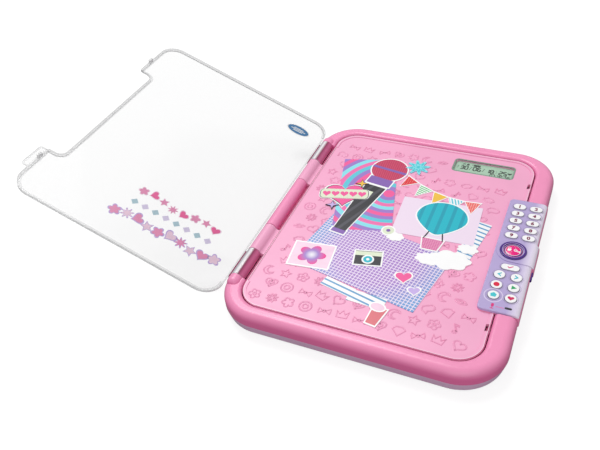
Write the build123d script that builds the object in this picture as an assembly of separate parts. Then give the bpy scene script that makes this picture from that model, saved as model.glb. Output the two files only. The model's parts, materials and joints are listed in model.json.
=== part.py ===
from build123d import *
import math
import os

os.makedirs("parts", exist_ok=True)

# Millimetres. The case lies on its back: +Z up, X across from the hinge side to the
# keypad side, Y along its length. The origin is the middle of the flat underside of the case.

# ---- Case ----
case_width = 228.0
case_length = 276.0
case_corner = 37.0
case_wall = 2.2
foot_height = 0.8
shell_height = 9.4
shell_inset = 2.3
shell_floor = 2.0
shell_bottom_round = 2.0
shell_ring_wall = 1.8
frame_height = 11.8
rim_round = 6.8
rim_inner_round = 3.5
channel_roof = 4.0
channel_inner_wall = 2.0

# ---- Front door ----
margin_hinge = 17.0
margin_key = 17.6
margin_top = 14.4
margin_bottom = 13.5
door_corner = 20.6
door_gap = 0.6
door_drop = 2.0
door_plate = 2.2
door_depth = 8.0
door_wall = 2.0
lip_height = 0.6
lip_width = 3.0
lip_round = 1.0
post_radius = 3.0
fit_gap = 0.2
cut_over = 1.0
edge_reach = 0.01

# ---- Hinge ----
hinge_inset = 7.6
hinge_below_rim = 2.6
knuckle_radius = 6.0
knuckle_gap = 0.6
trough_clearance = 0.5
trough_side_drop = 5.5
spine_bottom_margin = 36.8
spine_top_margin = 40.3
door_barrel_length = 33.0
lid_knuckle_length = 32.3
web_thickness = 3.0
web_round = 3.0
end_lug_length = 10.0
end_lug_round = 5.4
pin_radius = 1.5
pin_clearance = 0.06
pin_fit = 0.02
pin_end_depth = 7.0
pin_centre_depth = 12.0
pin_chamfer = 0.4

# ---- Clear lid ----
lid_open_angle = 157.3
lid_thickness = 1.8
lid_clearance = 0.3
lid_root = 7.5
lid_over_top = 4.7
lid_over_bottom = 2.5
lid_corner = 17.4
lid_edge_width = 1.8
lid_edge_height = 0.7
notch_side_gap = 0.9
notch_gap_top = 7.2
notch_gap_bottom = 1.8
notch_corner = 7.0
tab_round = 2.0
finger_lip_reach = 6.6
finger_lip_length = 26.0
finger_lip_offset = 1.5
finger_lip_thickness = 1.1
finger_lip_corner = 3.0
catch_width = 5.0
catch_thickness = 2.0
catch_drop = 4.1
catch_setback = 0.5
catch_barb = 0.5
catch_barb_height = 1.0
catch_from_top = 36.6
catch_from_bottom = 36.5
catch_clearance = 1.0
catch_slot_depth = 2.8

# ---- Keypad bezel ----
bezel_left_margin = 13.7
bezel_length = 135.8
bezel_middle = -5.1
bezel_rise = 3.2
bezel_overhang = 0.8
bezel_wall = 1.8
bezel_shoulder = 5.0
bezel_inner_shoulder = 2.0
bezel_corner = 4.0
bezel_edge_round = 0.9
bezel_seat_gap = 0.4
frame_notch_floor = 1.8
frame_notch_gap = 0.5
pocket_shelf = 1.6

# ---- Keys ----
key_hole_gap = 0.3
key_rise = 0.9
key_flange = 0.7
key_flange_thickness = 0.6
key_flange_drop = 0.3
key_edge_round = 0.5
number_key_size = (10.4, 6.8)
number_column_x = (92.2, 105.9)
number_top_y = 52.5
number_pitch = 9.7
number_rows = 5
round_key_radius = 4.4
round_column_x = (92.1, 105.0)
round_top_y = -34.3
round_pitch = 11.5
tick_key_size = (14.4, 6.4)
tick_key_at = (98.5, -24.4)

# ---- Unlock button ----
unlock_at = (97.1, -4.9)
unlock_radius = 7.2
unlock_rise = 2.0
unlock_dome = 1.2
ring_inner = 8.3
ring_outer = 10.6
ring_height = 1.1
surround_radius = 13.0
surround_rise = 0.7
surround_reach = 1.4

# ---- Boards ----
board_thickness = 1.2
mat_thickness = 0.6
key_board_margin = 1.0
mat_margin = 2.0
main_board_size = (78.0, 50.0)
main_board_shift = (0.6, -13.8)
board_screw_inset = 4.0

# ---- Display ----
display_from_right = 46.0
display_from_top = 20.8
display_size = (57.0, 20.4)
display_corner = 4.0
lens_thickness = 1.2
lens_ledge = 1.0
lens_gap = 0.1
display_module_size = (62.0, 26.0)
display_module_thickness = 2.6
display_module_corner = 1.0

# ---- Sound ----
mic_at = (105.2, -67.5)
mic_radius = 2.2
mic_height = 2.0
mic_slot = (4.6, 1.3)
speaker_at = (70.0, 35.0)
speaker_radius = 18.0
speaker_magnet_radius = 9.0
speaker_frame_thickness = 2.4
speaker_height = 6.4
grille_hole_radius = 1.1
grille_pitch = 4.2
grille_rings = 3

# ---- Door back cover ----
back_thickness = 1.5
bay_x = (47.0, 94.0)
bay_y = (-72.0, 62.0)
bay_depth = 6.1
bay_wall = 1.6
bay_corner = 4.0
door_screw_left = 13.0
door_screw_right = 18.4
door_screw_corner_end = 15.5
door_screw_middle_end = 9.5
door_screw_field_x = -20.0

# ---- Batteries ----
cell_radius = 5.25
cell_length = 44.5
cell_nub_radius = 1.9
cell_nub_length = 1.2
cell_pitch = 11.0
cell_count = 3
cell_lift = 0.2
battery_x0 = 50.0
battery_y0 = -69.5
contact_thickness = 0.5
contact_size = (8.0, 7.0)
spring_length = 3.0
spring_radius = 3.4
battery_cover_gap = 0.25
battery_cover_ledge = 1.2
battery_cover_corner = 2.0
cover_tab = (9.0, 5.6)
cover_screw_head_radius = 2.0
cover_screw_head = 0.8
cover_screw_radius = 1.0
cover_screw_length = 4.0
cover_screw_post = 2.3

# ---- Lock ----
bolt_width = 9.0
bolt_thickness = 1.6
bolt_lift = 0.6
bolt_length = 11.6
bolt_slot_gap = 0.3
bolt_nose_setback = 0.4
motor_size = (20.0, 18.0, 7.6)
motor_edge_round = 0.8
keeper_x = (99.0, 102.4)
keeper_post = 1.8
keeper_side_gap = 0.7
keeper_bar = 1.2
keeper_height = 3.8
keeper_foot = 3.6
keeper_foot_thickness = 0.8

# ---- Power switch ----
switch_y = -24.2
switch_below_top = 5.4
switch_length = 8.6
switch_height = 2.6
switch_travel = 2.2
switch_proud = 1.2
switch_plate = 1.0
switch_plate_margin = 1.2
switch_gap = 0.3

# ---- Notepad ----
pad_width = 136.0
pad_length = 205.0
pad_pages = 5.6
pad_back = 0.8
pad_gap = 1.0
pad_corner = 5.0
divider_width = 1.6
divider_height = 6.6
divider_length = 200.0

# ---- Fasteners and feet ----
case_screw_head_radius = 2.7
case_screw_head = 1.8
case_screw_radius = 1.3
case_screw_length = 15.0
case_boss_radius = 3.4
door_screw_head_radius = 2.2
door_screw_head = 1.0
door_screw_radius = 1.0
door_screw_length = 5.0
foot_radius = 6.0
foot_recess = 0.5
foot_inset = (30.0, 32.0)

# ---- Levels and edges worked out from the sizes above ----
underside_z = 0.0
parting_z = underside_z + shell_height
rim_z = parting_z + frame_height
floor_z = underside_z + shell_floor
door_z = rim_z - door_drop
plate_z = door_z - door_plate
skirt_z = door_z - door_depth
back_z = skirt_z - back_thickness
bay_z = back_z - bay_depth
lid_z = rim_z + lid_clearance
bezel_z = door_z + bezel_rise
switch_z = bezel_z - switch_below_top
bezel_inside_z = bezel_z - bezel_wall
shelf_z = plate_z - pocket_shelf
notch_z = parting_z + frame_notch_floor
key_board_z = plate_z
mat_z = key_board_z + board_thickness
key_flange_z = bezel_inside_z - key_flange_drop - key_flange_thickness
key_top_z = bezel_z + key_rise

case_x = (-case_width / 2, case_width / 2)
case_y = (-case_length / 2, case_length / 2)
door_x = (case_x[0] + margin_hinge, case_x[1] - margin_key)
door_y = (case_y[0] + margin_bottom, case_y[1] - margin_top)
hinge_x = case_x[0] + hinge_inset
hinge_z = rim_z - hinge_below_rim
trough_radius = knuckle_radius + trough_clearance
trough_side_z = rim_z - trough_side_drop
bezel_x = (door_x[1] - bezel_left_margin, case_x[1] + bezel_overhang)
bezel_y = (bezel_middle - bezel_length / 2, bezel_middle + bezel_length / 2)
catch_y = (door_y[1] - catch_from_top, door_y[0] + catch_from_bottom)
display_centre = (door_x[1] - display_from_right, door_y[1] - display_from_top)
main_board_centre = (
    display_centre[0] + main_board_shift[0],
    display_centre[1] + main_board_shift[1],
)

spine_y = (case_y[0] + spine_bottom_margin, case_y[1] - spine_top_margin)
lid_knuckle_y = (
    (spine_y[0], spine_y[0] + lid_knuckle_length),
    (spine_y[1] - lid_knuckle_length, spine_y[1]),
)
door_barrel_y = (
    (lid_knuckle_y[0][1], lid_knuckle_y[0][1] + door_barrel_length),
    (lid_knuckle_y[1][0] - door_barrel_length, lid_knuckle_y[1][0]),
)
centre_y = (door_barrel_y[0][1], door_barrel_y[1][0])
hinge_axis = Axis((hinge_x, 0, hinge_z), (0, -1, 0))


# ---- Small helpers ----
def block(x, y, z, corner=0.0):
    """Straight-sided block between two X, two Y and two Z values, with rounded plan corners."""
    size_x = x[1] - x[0]
    size_y = y[1] - y[0]
    centre = Pos((x[0] + x[1]) / 2, (y[0] + y[1]) / 2, z[0])
    if corner > 0:
        plan = RectangleRounded(size_x, size_y, corner)
    else:
        plan = Rectangle(size_x, size_y)
    return extrude(centre * plan, z[1] - z[0])


def grown(pair, amount):
    """A pair of limits moved apart by the amount at each end."""
    return (pair[0] - amount, pair[1] + amount)


def case_block(inset, z):
    """Block with the outline of the case, moved in by the inset."""
    return block(grown(case_x, -inset), grown(case_y, -inset), z, case_corner - inset)


def door_block(inset, z):
    """Block with the outline of the door, moved in by the inset."""
    return block(grown(door_x, -inset), grown(door_y, -inset), z, door_corner - inset)


def upright(x, y, z, radius):
    """Upright round bar between two heights."""
    return Pos(x, y, z[0]) * extrude(Circle(radius), z[1] - z[0])


def spine_bar(y, radius):
    """Round bar on the hinge axis between two Y values."""
    plane = Plane((hinge_x, y[0], hinge_z), x_dir=(1, 0, 0), z_dir=(0, 1, 0))
    return extrude(plane * Circle(radius), y[1] - y[0])


def key_plan(width, height):
    """Key outline with full round ends."""
    return SlotOverall(width, height)


def top_edges(part):
    return part.faces().sort_by(Axis.Z)[-1].edges()


def bottom_edges(part):
    return part.faces().sort_by(Axis.Z)[0].edges()


def save(part, name):
    part.label = name
    export_step(part, "parts/" + name + ".step")


# ---- Case screws stand in the channel between the outer and the inner wall ----
def corner_screw_spot(side_x, side_y):
    """Middle of the channel on a corner's diagonal."""
    outer = case_corner * math.sqrt(0.5)
    outer_x = case_x[1] - case_corner + outer
    inner = (door_corner + door_gap) * math.sqrt(0.5)
    inner_x = door_x[1] + door_gap - door_corner - door_gap + inner
    outer_y = case_y[1] - case_corner + outer
    inner_y = door_y[1] + door_gap - door_corner - door_gap + inner
    return (side_x * (outer_x + inner_x) / 2, side_y * (outer_y + inner_y) / 2)


def case_screw_spots():
    corners = [corner_screw_spot(sx, sy) for sx in (-1, 1) for sy in (-1, 1)]
    top_mid = (0, (case_y[1] + door_y[1]) / 2 - case_wall / 2)
    bottom_mid = (0, (case_y[0] + door_y[0]) / 2 + case_wall / 2)
    right_x = (case_x[1] + door_x[1]) / 2
    right = [(right_x, bezel_y[1] + margin_key), (right_x, bezel_y[0] - margin_key)]
    return corners + [top_mid, bottom_mid] + right


# ---- Case ----
def make_bottom_shell():
    """Lilac tray: drafted outer wall, inner wall round the compartment, screw bosses and ribs."""
    taper = math.degrees(math.atan(shell_inset / shell_height))
    outer_plan = Pos(0, 0, parting_z) * RectangleRounded(case_width, case_length, case_corner)
    body = extrude(outer_plan, shell_height, dir=(0, 0, -1), taper=taper)
    body = fillet(bottom_edges(body), shell_bottom_round)
    inner_plan = Pos(0, 0, parting_z) * RectangleRounded(
        case_width - 2 * case_wall, case_length - 2 * case_wall, case_corner - case_wall
    )
    body -= extrude(inner_plan, shell_height - shell_floor, dir=(0, 0, -1), taper=taper)
    ring = door_block(-door_gap - shell_ring_wall, (floor_z, parting_z))
    ring -= door_block(-door_gap, (floor_z, parting_z))
    body += ring
    divider_x = bay_x[0] - pad_gap - divider_width
    half = divider_length / 2
    divider = (divider_x, divider_x + divider_width)
    body += block(divider, (-half, half), (floor_z, floor_z + divider_height))
    for x, y in case_screw_spots():
        body += upright(x, y, (floor_z, parting_z), case_boss_radius)
    head_top = underside_z + case_screw_head + fit_gap
    for x, y in case_screw_spots():
        body -= upright(x, y, (underside_z, head_top), case_screw_head_radius + fit_gap)
        body -= upright(x, y, (underside_z, parting_z), case_screw_radius + fit_gap)
    for x, y in foot_spots():
        body -= upright(x, y, (underside_z, underside_z + foot_recess), foot_radius)
    return body


def frame_channel():
    """Hollow under the rim, kept away from the hinge trough and from the keypad notch."""
    top = rim_z - channel_roof
    channel = case_block(case_wall, (parting_z, top))
    channel -= door_block(-door_gap - channel_inner_wall, (parting_z, top))
    spine = grown(spine_y, end_lug_length)
    channel -= block((case_x[0], door_x[0]), spine, (parting_z, top))
    notch = grown(bezel_y, channel_inner_wall)
    channel -= block((door_x[1], case_x[1]), notch, (parting_z, top))
    return channel


def end_lug(inner_y, outward):
    """Hinge lug at one end of the spine, rounded off where it runs into the rim."""
    y = sorted((inner_y, inner_y + outward * end_lug_length))
    lug = spine_bar(y, knuckle_radius)
    end_face = lug.faces().sort_by(Axis.Y)[-1 if outward > 0 else 0]
    return fillet(end_face.edges(), end_lug_round)


def make_top_frame():
    """Pink rim: rounded frame round the door, with the hinge trough and the keypad notch."""
    body = case_block(0, (parting_z, rim_z))
    body = fillet(top_edges(body), rim_round)
    body -= door_block(-door_gap, (parting_z, rim_z))
    inner = body.faces().sort_by(Axis.Z)[-1].inner_wires()[0]
    body = fillet(inner.edges(), rim_inner_round)
    body -= frame_channel()

    beyond = case_x[0] - cut_over
    well_left = door_x[0] - door_gap + rim_inner_round
    body -= block((beyond, well_left), spine_y, (trough_side_z, rim_z + cut_over))
    body -= spine_bar(spine_y, trough_radius)
    body += end_lug(spine_y[1], 1)
    body += end_lug(spine_y[0], -1)
    knuckle = grown(centre_y, -knuckle_gap / 2)
    body += spine_bar(knuckle, knuckle_radius)
    pedestal_x = (hinge_x - knuckle_radius, hinge_x + knuckle_radius)
    body += block(pedestal_x, knuckle, (notch_z, hinge_z - knuckle_radius / 2))

    notch_y = grown(bezel_y, frame_notch_gap)
    body -= block((door_x[1], case_x[1] + cut_over), notch_y, (notch_z, rim_z + cut_over))

    for x, y in case_screw_spots():
        body += upright(x, y, (parting_z, rim_z - channel_roof), case_boss_radius)
    for x, y in case_screw_spots():
        screw_top = underside_z + case_screw_head + case_screw_length
        body -= upright(x, y, (parting_z, screw_top + fit_gap), case_screw_radius)
    for y in pin_spans():
        body -= spine_bar(y, pin_radius + pin_fit)
    return body


def pin_spans():
    """Where the two hinge pins lie: from inside an end lug to inside the centre knuckle."""
    lower = (spine_y[0] - pin_end_depth, centre_y[0] + pin_centre_depth)
    upper = (centre_y[1] - pin_centre_depth, spine_y[1] + pin_end_depth)
    return lower, upper


def make_hinge_pin(span):
    pin = spine_bar(span, pin_radius)
    return chamfer(pin.edges().filter_by(GeomType.CIRCLE), pin_chamfer)


def make_case_screws():
    """Pan-head screws driven up from under the case."""
    screws = []
    for x, y in case_screw_spots():
        head_z = (underside_z, underside_z + case_screw_head)
        screw = upright(x, y, head_z, case_screw_head_radius)
        screw = chamfer(bottom_edges(screw), case_screw_head / 3)
        screw += upright(x, y, (head_z[1], head_z[1] + case_screw_length), case_screw_radius)
        screws.append(screw)
    return Compound(children=screws)


def foot_spots():
    x = case_x[1] - foot_inset[0]
    y = case_y[1] - foot_inset[1]
    return [(sx * x, sy * y) for sx in (-1, 1) for sy in (-1, 1)]


def make_rubber_feet():
    feet = []
    for x, y in foot_spots():
        z = (underside_z - foot_height, underside_z + foot_recess)
        foot = upright(x, y, z, foot_radius)
        feet.append(fillet(bottom_edges(foot), foot_height / 2))
    return Compound(children=feet)


def make_keeper():
    """Steel hoop on the frame that the latch bolt slides under."""
    half_gap = bolt_width / 2 + keeper_side_gap
    y_mid = unlock_at[1]
    top = notch_z + keeper_height
    outer = (y_mid - half_gap - keeper_post, y_mid + half_gap + keeper_post)
    hoop = block(keeper_x, outer, (notch_z, top))
    hoop -= block(keeper_x, (y_mid - half_gap, y_mid + half_gap), (notch_z, top - keeper_bar))
    foot_z = (notch_z, notch_z + keeper_foot_thickness)
    feet = block(keeper_x, grown(outer, keeper_foot), foot_z)
    feet -= block(keeper_x, outer, foot_z)
    return hoop + feet


# ---- Notepad ----
def pad_x():
    right = bay_x[0] - pad_gap - divider_width - pad_gap
    return (right - pad_width, right)


def make_notepad_back():
    half = pad_length / 2
    return block(pad_x(), (-half, half), (floor_z, floor_z + pad_back), pad_corner)


def make_notepad_pages():
    half = pad_length / 2
    low = floor_z + pad_back
    return block(pad_x(), (-half, half), (low, low + pad_pages), pad_corner)


# ---- Front door ----
def door_screw_spots():
    """Screws near the corners away from the keypad, at the middles of the ends, and in the field."""
    left = door_x[0] + door_screw_left
    right = door_x[1] - door_screw_right
    middle = (case_x[0] + case_x[1]) / 2
    corner_y = grown(door_y, -door_screw_corner_end)
    middle_y = grown(door_y, -door_screw_middle_end)
    ends = [(left, corner_y[0]), (left, corner_y[1]), (right, corner_y[0])]
    return ends + [(middle, middle_y[0]), (middle, middle_y[1]), (door_screw_field_x, 0)]


def pocket_y(margin=0.0):
    """Y limits of the pocket under the bezel, between the bezel's end walls."""
    return grown(bezel_y, -bezel_wall - margin)


def make_door_barrels():
    """Two barrels on webs that carry on the door's face, with a soft valley between."""
    barrels = []
    for span in door_barrel_y:
        y = grown(span, -knuckle_gap / 2)
        web = block((hinge_x, door_x[0]), y, (door_z - web_thickness, door_z))
        barrel = spine_bar(y, knuckle_radius) + web
        reach = math.sqrt(knuckle_radius**2 - (door_z - hinge_z) ** 2)
        valley = barrel.edges().filter_by(Axis.Y).filter_by_position(
            Axis.X, hinge_x + reach - edge_reach, hinge_x + reach + edge_reach
        )
        barrel = fillet(valley.sort_by(Axis.Z)[-1:], web_round)
        barrels.append(barrel - spine_bar(y, pin_radius + pin_clearance))
    return Compound(children=barrels)


def make_door_panel():
    """Light-pink door: face with a raised edge, skirt, keypad shelf and display window."""
    top = door_z + lip_height
    body = door_block(0, (skirt_z, top))
    body = fillet(top_edges(body), lip_round)
    body -= door_block(lip_width, (door_z, top))
    body -= door_block(door_wall, (skirt_z, plate_z))
    lip_cut = (door_x[0] - cut_over, door_x[0] + lip_width)
    body -= block(lip_cut, spine_y, (door_z, top))

    shelf_x = (bezel_x[0], bezel_x[1] - bezel_wall - fit_gap)
    body += block(shelf_x, pocket_y(fit_gap), (shelf_z, plate_z)) - switch_room()
    pocket = (bezel_x[0] + bezel_wall, shelf_x[1])
    body -= block(pocket, pocket_y(), (plate_z, top))
    body -= block((bezel_x[0] - fit_gap, door_x[1]), grown(bezel_y, fit_gap), (door_z, top))

    body -= display_block(display_size, lens_gap, (door_z - lens_thickness, top))
    opening = (display_size[0] - 2 * lens_ledge, display_size[1] - 2 * lens_ledge)
    body -= display_block(opening, 0, (plate_z, door_z))

    slot_x = (door_x[1] - catch_setback - catch_thickness - catch_clearance, door_x[1])
    for y in catch_y:
        half = catch_width / 2 + catch_clearance
        slot_z = (door_z - catch_slot_depth, top)
        body -= block(slot_x, (y - half, y + half), slot_z)

    slot_half = bolt_width / 2 + bolt_slot_gap
    slot_z = (bolt_z()[0] - bolt_slot_gap, bolt_z()[1] + bolt_slot_gap)
    wall = (door_x[1] - door_wall, door_x[1])
    body -= block(wall, (unlock_at[1] - slot_half, unlock_at[1] + slot_half), slot_z)

    for x, y in door_screw_spots():
        body += upright(x, y, (skirt_z, plate_z), post_radius)
        body -= upright(x, y, (skirt_z, skirt_z + door_screw_length), door_screw_radius)
    for x, y in board_posts():
        low = plate_z - display_module_thickness
        body += upright(x, y, (low, plate_z), post_radius)
    return body


def display_block(size, extra, z):
    """Rounded block centred on the display."""
    x, y = display_centre
    half_x = size[0] / 2 + extra
    half_y = size[1] / 2 + extra
    return block((x - half_x, x + half_x), (y - half_y, y + half_y), z, display_corner)


def board_posts():
    """Posts that hold the main board under the door's face, inside its corners."""
    x, y = main_board_centre
    dx = main_board_size[0] / 2 - board_screw_inset
    dy = main_board_size[1] / 2 - board_screw_inset
    return [(x + sx * dx, y + sy * dy) for sx in (-1, 1) for sy in (-1, 1)]


def make_display_lens():
    return display_block(display_size, 0, (door_z - lens_thickness, door_z))


def make_display_module():
    x, y = display_centre
    half_x = display_module_size[0] / 2
    half_y = display_module_size[1] / 2
    z = (plate_z - display_module_thickness, plate_z)
    return block((x - half_x, x + half_x), (y - half_y, y + half_y), z, display_module_corner)


def make_main_board():
    x, y = main_board_centre
    half_x = main_board_size[0] / 2
    half_y = main_board_size[1] / 2
    top = plate_z - display_module_thickness
    z = (top - board_thickness, top)
    return block((x - half_x, x + half_x), (y - half_y, y + half_y), z)


def make_key_board():
    x = (bezel_x[0] + bezel_wall + key_board_margin, bezel_x[1] - bezel_wall - key_board_margin)
    return block(x, pocket_y(key_board_margin), (key_board_z, mat_z)) - switch_room()


def make_key_mat():
    x = (bezel_x[0] + bezel_wall + mat_margin, bezel_x[1] - bezel_wall - mat_margin)
    low = mic_at[1] + mic_radius + mat_margin
    y = (low, pocket_y(mat_margin)[1])
    return block(x, y, (mat_z, mat_z + mat_thickness))


def make_microphone():
    return upright(mic_at[0], mic_at[1], (mat_z, mat_z + mic_height), mic_radius)


# ---- Door back cover with the electronics bay ----
def bay_block(inset, z):
    return block(grown(bay_x, -inset), grown(bay_y, -inset), z, bay_corner - inset)


def battery_x():
    return (battery_x0, battery_x0 + cell_count * cell_pitch + fit_gap)


def battery_y():
    full = spring_length + cell_length + 2 * contact_thickness + fit_gap
    return (battery_y0, battery_y0 + full)


def cell_x(index):
    return battery_x0 + fit_gap / 2 + cell_pitch * (index + 0.5)


def cell_z():
    return bay_z + bay_wall + cell_lift + cell_radius


def grille_spots():
    """Holes of the speaker grille: rings of six, twelve and so on round a middle hole."""
    spots = [speaker_at]
    for ring in range(1, grille_rings + 1):
        for step in range(6 * ring):
            angle = math.tau * step / (6 * ring)
            x = speaker_at[0] + ring * grille_pitch * math.cos(angle)
            y = speaker_at[1] + ring * grille_pitch * math.sin(angle)
            spots.append((x, y))
    return spots


def cover_screw_spot():
    """Middle of the tab beyond the far end of the battery hatch."""
    x = (battery_x()[0] + battery_x()[1]) / 2
    return (x, battery_y()[1] + bay_wall + cover_tab[1] / 2)


def tab_block(gap, z):
    """Tab that carries the hatch's screw."""
    x, y = cover_screw_spot()
    half = cover_tab[0] / 2 + gap
    end = y + cover_tab[1] / 2 + gap
    return block((x - half, x + half), (battery_y()[1] - battery_cover_ledge, end), z)


def make_door_back():
    """Inner cover of the door, with a bay for the batteries, the speaker and the lock."""
    body = door_block(0, (back_z, skirt_z))
    body += bay_block(0, (bay_z, back_z))
    body = fillet(bottom_edges(body), bay_wall / 2)
    body -= bay_block(bay_wall, (bay_z + bay_wall, skirt_z))
    hatch_z = (bay_z, bay_z + bay_wall)
    inner_x = grown(battery_x(), -battery_cover_ledge)
    inner_y = grown(battery_y(), -battery_cover_ledge)
    body -= block(inner_x, inner_y, hatch_z, battery_cover_corner)
    seat_z = (bay_z, bay_z + bay_wall / 2)
    seat_x = grown(battery_x(), battery_cover_gap)
    seat_y = grown(battery_y(), battery_cover_gap)
    body -= block(seat_x, seat_y, seat_z, battery_cover_corner)
    body -= tab_block(battery_cover_gap, seat_z)
    x, y = cover_screw_spot()
    post_z = (seat_z[1], bay_z + bay_wall + cover_screw_length)
    body += upright(x, y, post_z, cover_screw_post)
    body -= upright(x, y, (bay_z, post_z[1]), cover_screw_radius)
    for x, y in grille_spots():
        body -= upright(x, y, hatch_z, grille_hole_radius)
    wall_z = (bay_z + bay_wall, back_z)
    end_wall = (battery_y()[1], battery_y()[1] + bay_wall)
    side_wall = (battery_x()[1], battery_x()[1] + bay_wall)
    body += block((battery_x()[0], side_wall[1]), end_wall, wall_z)
    body += block(side_wall, (bay_y[0] + bay_wall, end_wall[1]), wall_z)
    for x, y in door_screw_spots():
        body -= upright(x, y, (back_z, skirt_z), door_screw_radius + fit_gap)
        body -= upright(x, y, (back_z, back_z + door_screw_head), door_screw_head_radius + fit_gap)
    return body


def make_door_screws():
    screws = []
    for x, y in door_screw_spots():
        head_top = back_z + door_screw_head
        screw = upright(x, y, (back_z, head_top), door_screw_head_radius)
        screw += upright(x, y, (head_top, head_top + door_screw_length), door_screw_radius)
        screws.append(screw)
    return Compound(children=screws)


def make_battery_cover():
    """Hatch in the floor of the bay, with a raised land inside its seat."""
    z_low = (bay_z, bay_z + bay_wall / 2)
    body = block(battery_x(), battery_y(), z_low, battery_cover_corner)
    land_x = grown(battery_x(), -battery_cover_ledge - battery_cover_gap)
    land_y = grown(battery_y(), -battery_cover_ledge - battery_cover_gap)
    body += block(land_x, land_y, (bay_z, bay_z + bay_wall), battery_cover_corner)
    body += tab_block(0, z_low)
    x, y = cover_screw_spot()
    body -= upright(x, y, z_low, cover_screw_radius + fit_gap)
    head = cone_plug(x, y, fit_gap)
    return body - head


def cone_plug(x, y, gap):
    """Countersunk head shape, its flat at the bay's underside."""
    wide = Pos(x, y, bay_z) * Circle(cover_screw_head_radius + gap)
    narrow = Pos(x, y, bay_z + cover_screw_head) * Circle(cover_screw_radius + gap)
    return loft([wide, narrow])


def make_battery_screw():
    x, y = cover_screw_spot()
    shank_z = (bay_z + cover_screw_head, bay_z + cover_screw_head + cover_screw_length)
    return cone_plug(x, y, 0) + upright(x, y, shank_z, cover_screw_radius)


def cell_bar(index, y, radius):
    """Round bar on a cell's axis between two Y values."""
    plane = Plane((cell_x(index), y[0], cell_z()), x_dir=(1, 0, 0), z_dir=(0, 1, 0))
    return extrude(plane * Circle(radius), y[1] - y[0])


def make_batteries():
    """Cells side by side, each turned round from the one before."""
    cells = []
    low = battery_y()[0] + contact_thickness
    can_length = cell_length - cell_nub_length
    for index in range(cell_count):
        if index % 2 == 0:
            can = (low + spring_length, low + spring_length + can_length)
            nub = (can[1], can[1] + cell_nub_length)
        else:
            nub = (low, low + cell_nub_length)
            can = (nub[1], nub[1] + can_length)
        cells.append(cell_bar(index, can, cell_radius) + cell_bar(index, nub, cell_nub_radius))
    return Compound(children=cells)


def spring_cone(index, y, first_radius, last_radius):
    """Coned spring on a cell's axis, with its radius at each end."""
    plane = Plane((cell_x(index), y, cell_z()), x_dir=(1, 0, 0), z_dir=(0, 1, 0))
    return loft([plane * Circle(first_radius), plane.offset(spring_length) * Circle(last_radius)])


def make_battery_contacts():
    """Flat contacts at the plus ends and coned spring contacts at the minus ends."""
    pieces = []
    low = battery_y()[0]
    high = battery_y()[1] - fit_gap
    half_x = contact_size[0] / 2
    z = (cell_z() - contact_size[1] / 2, cell_z() + contact_size[1] / 2)
    for index in range(cell_count):
        x = (cell_x(index) - half_x, cell_x(index) + half_x)
        near = block(x, (low, low + contact_thickness), z)
        far = block(x, (high - contact_thickness, high), z)
        if index % 2 == 0:
            near += spring_cone(index, low + contact_thickness, spring_radius, cell_nub_radius)
        else:
            start = high - contact_thickness - spring_length
            far += spring_cone(index, start, cell_nub_radius, spring_radius)
        pieces += [near, far]
    return Compound(children=pieces)


def make_speaker():
    x, y = speaker_at
    low = bay_z + bay_wall
    cone = upright(x, y, (low, low + speaker_frame_thickness), speaker_radius)
    cone = chamfer(top_edges(cone), speaker_frame_thickness / 2)
    return cone + upright(x, y, (low, low + speaker_height), speaker_magnet_radius)


# ---- Lock ----
def bolt_z():
    return (notch_z + bolt_lift, notch_z + bolt_lift + bolt_thickness)


def bolt_x():
    nose = door_x[1] - bolt_nose_setback
    return (nose - bolt_length, nose)


def make_lock_motor():
    """Small solenoid that pushes the latch bolt."""
    x1 = bolt_x()[0] - fit_gap
    x = (x1 - motor_size[0], x1)
    y = (unlock_at[1] - motor_size[1] / 2, unlock_at[1] + motor_size[1] / 2)
    low = bay_z + bay_wall
    body = block(x, y, (low, low + motor_size[2]))
    return fillet(body.edges().filter_by(Axis.X), motor_edge_round)


def make_latch_bolt():
    half = bolt_width / 2
    y = (unlock_at[1] - half, unlock_at[1] + half)
    bolt = block(bolt_x(), y, bolt_z())
    nose = bolt.faces().sort_by(Axis.X)[-1].edges().filter_by(Axis.Z)
    return fillet(nose, bolt_thickness / 2)


# ---- Keypad bezel ----
def bezel_form(rise, reach, y, corners):
    """Saddle over the rim: flat top, round shoulder and a side that hangs over the frame."""
    top = bezel_z + rise
    right = bezel_x[1] + reach
    low = notch_z + bezel_seat_gap
    step = door_x[1] + door_gap
    side = Polyline(
        (bezel_x[0], door_z), (bezel_x[0], top), (right, top), (right, low),
        (step, low), (step, door_z), close=True,
    )
    section = Plane.XZ.offset(-y[1]) * make_face(side)
    form = extrude(section, y[1] - y[0])
    shoulder = form.edges().filter_by(Axis.Y).sort_by(Axis.X)[-2:].sort_by(Axis.Z)[-1:]
    form = fillet(shoulder, bezel_shoulder + rise)
    if corners:
        left = form.edges().filter_by(Axis.Z).sort_by(Axis.X)[:2]
        form = fillet(left, bezel_corner)
    return form


def bezel_outer():
    form = bezel_form(0, 0, bezel_y, True)
    top = form.faces().sort_by(Axis.Z)[-1].edges()
    flat = [edge for edge in top if edge.center().X < bezel_x[1] - bezel_shoulder - cut_over]
    return fillet(flat, bezel_edge_round)


def bezel_inner():
    """Space inside the bezel."""
    x = (bezel_x[0] + bezel_wall, bezel_x[1] - bezel_wall)
    y = pocket_y()
    space = block(x, y, (door_z, bezel_inside_z))
    low = notch_z + bezel_seat_gap
    space += block((door_x[1] + door_gap, x[1]), y, (low, bezel_inside_z))
    shoulder = space.edges().filter_by(Axis.Y).sort_by(Axis.X)[-2:].sort_by(Axis.Z)[-1:]
    return fillet(shoulder, bezel_inner_shoulder)


def number_key_spots():
    """Digit to key centre: odd digits in the left column, even ones and zero in the right."""
    spots = {}
    for row in range(number_rows):
        y = number_top_y - row * number_pitch
        spots[2 * row + 1] = (number_column_x[0], y)
        spots[(2 * row + 2) % (2 * number_rows)] = (number_column_x[1], y)
    return spots


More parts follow.
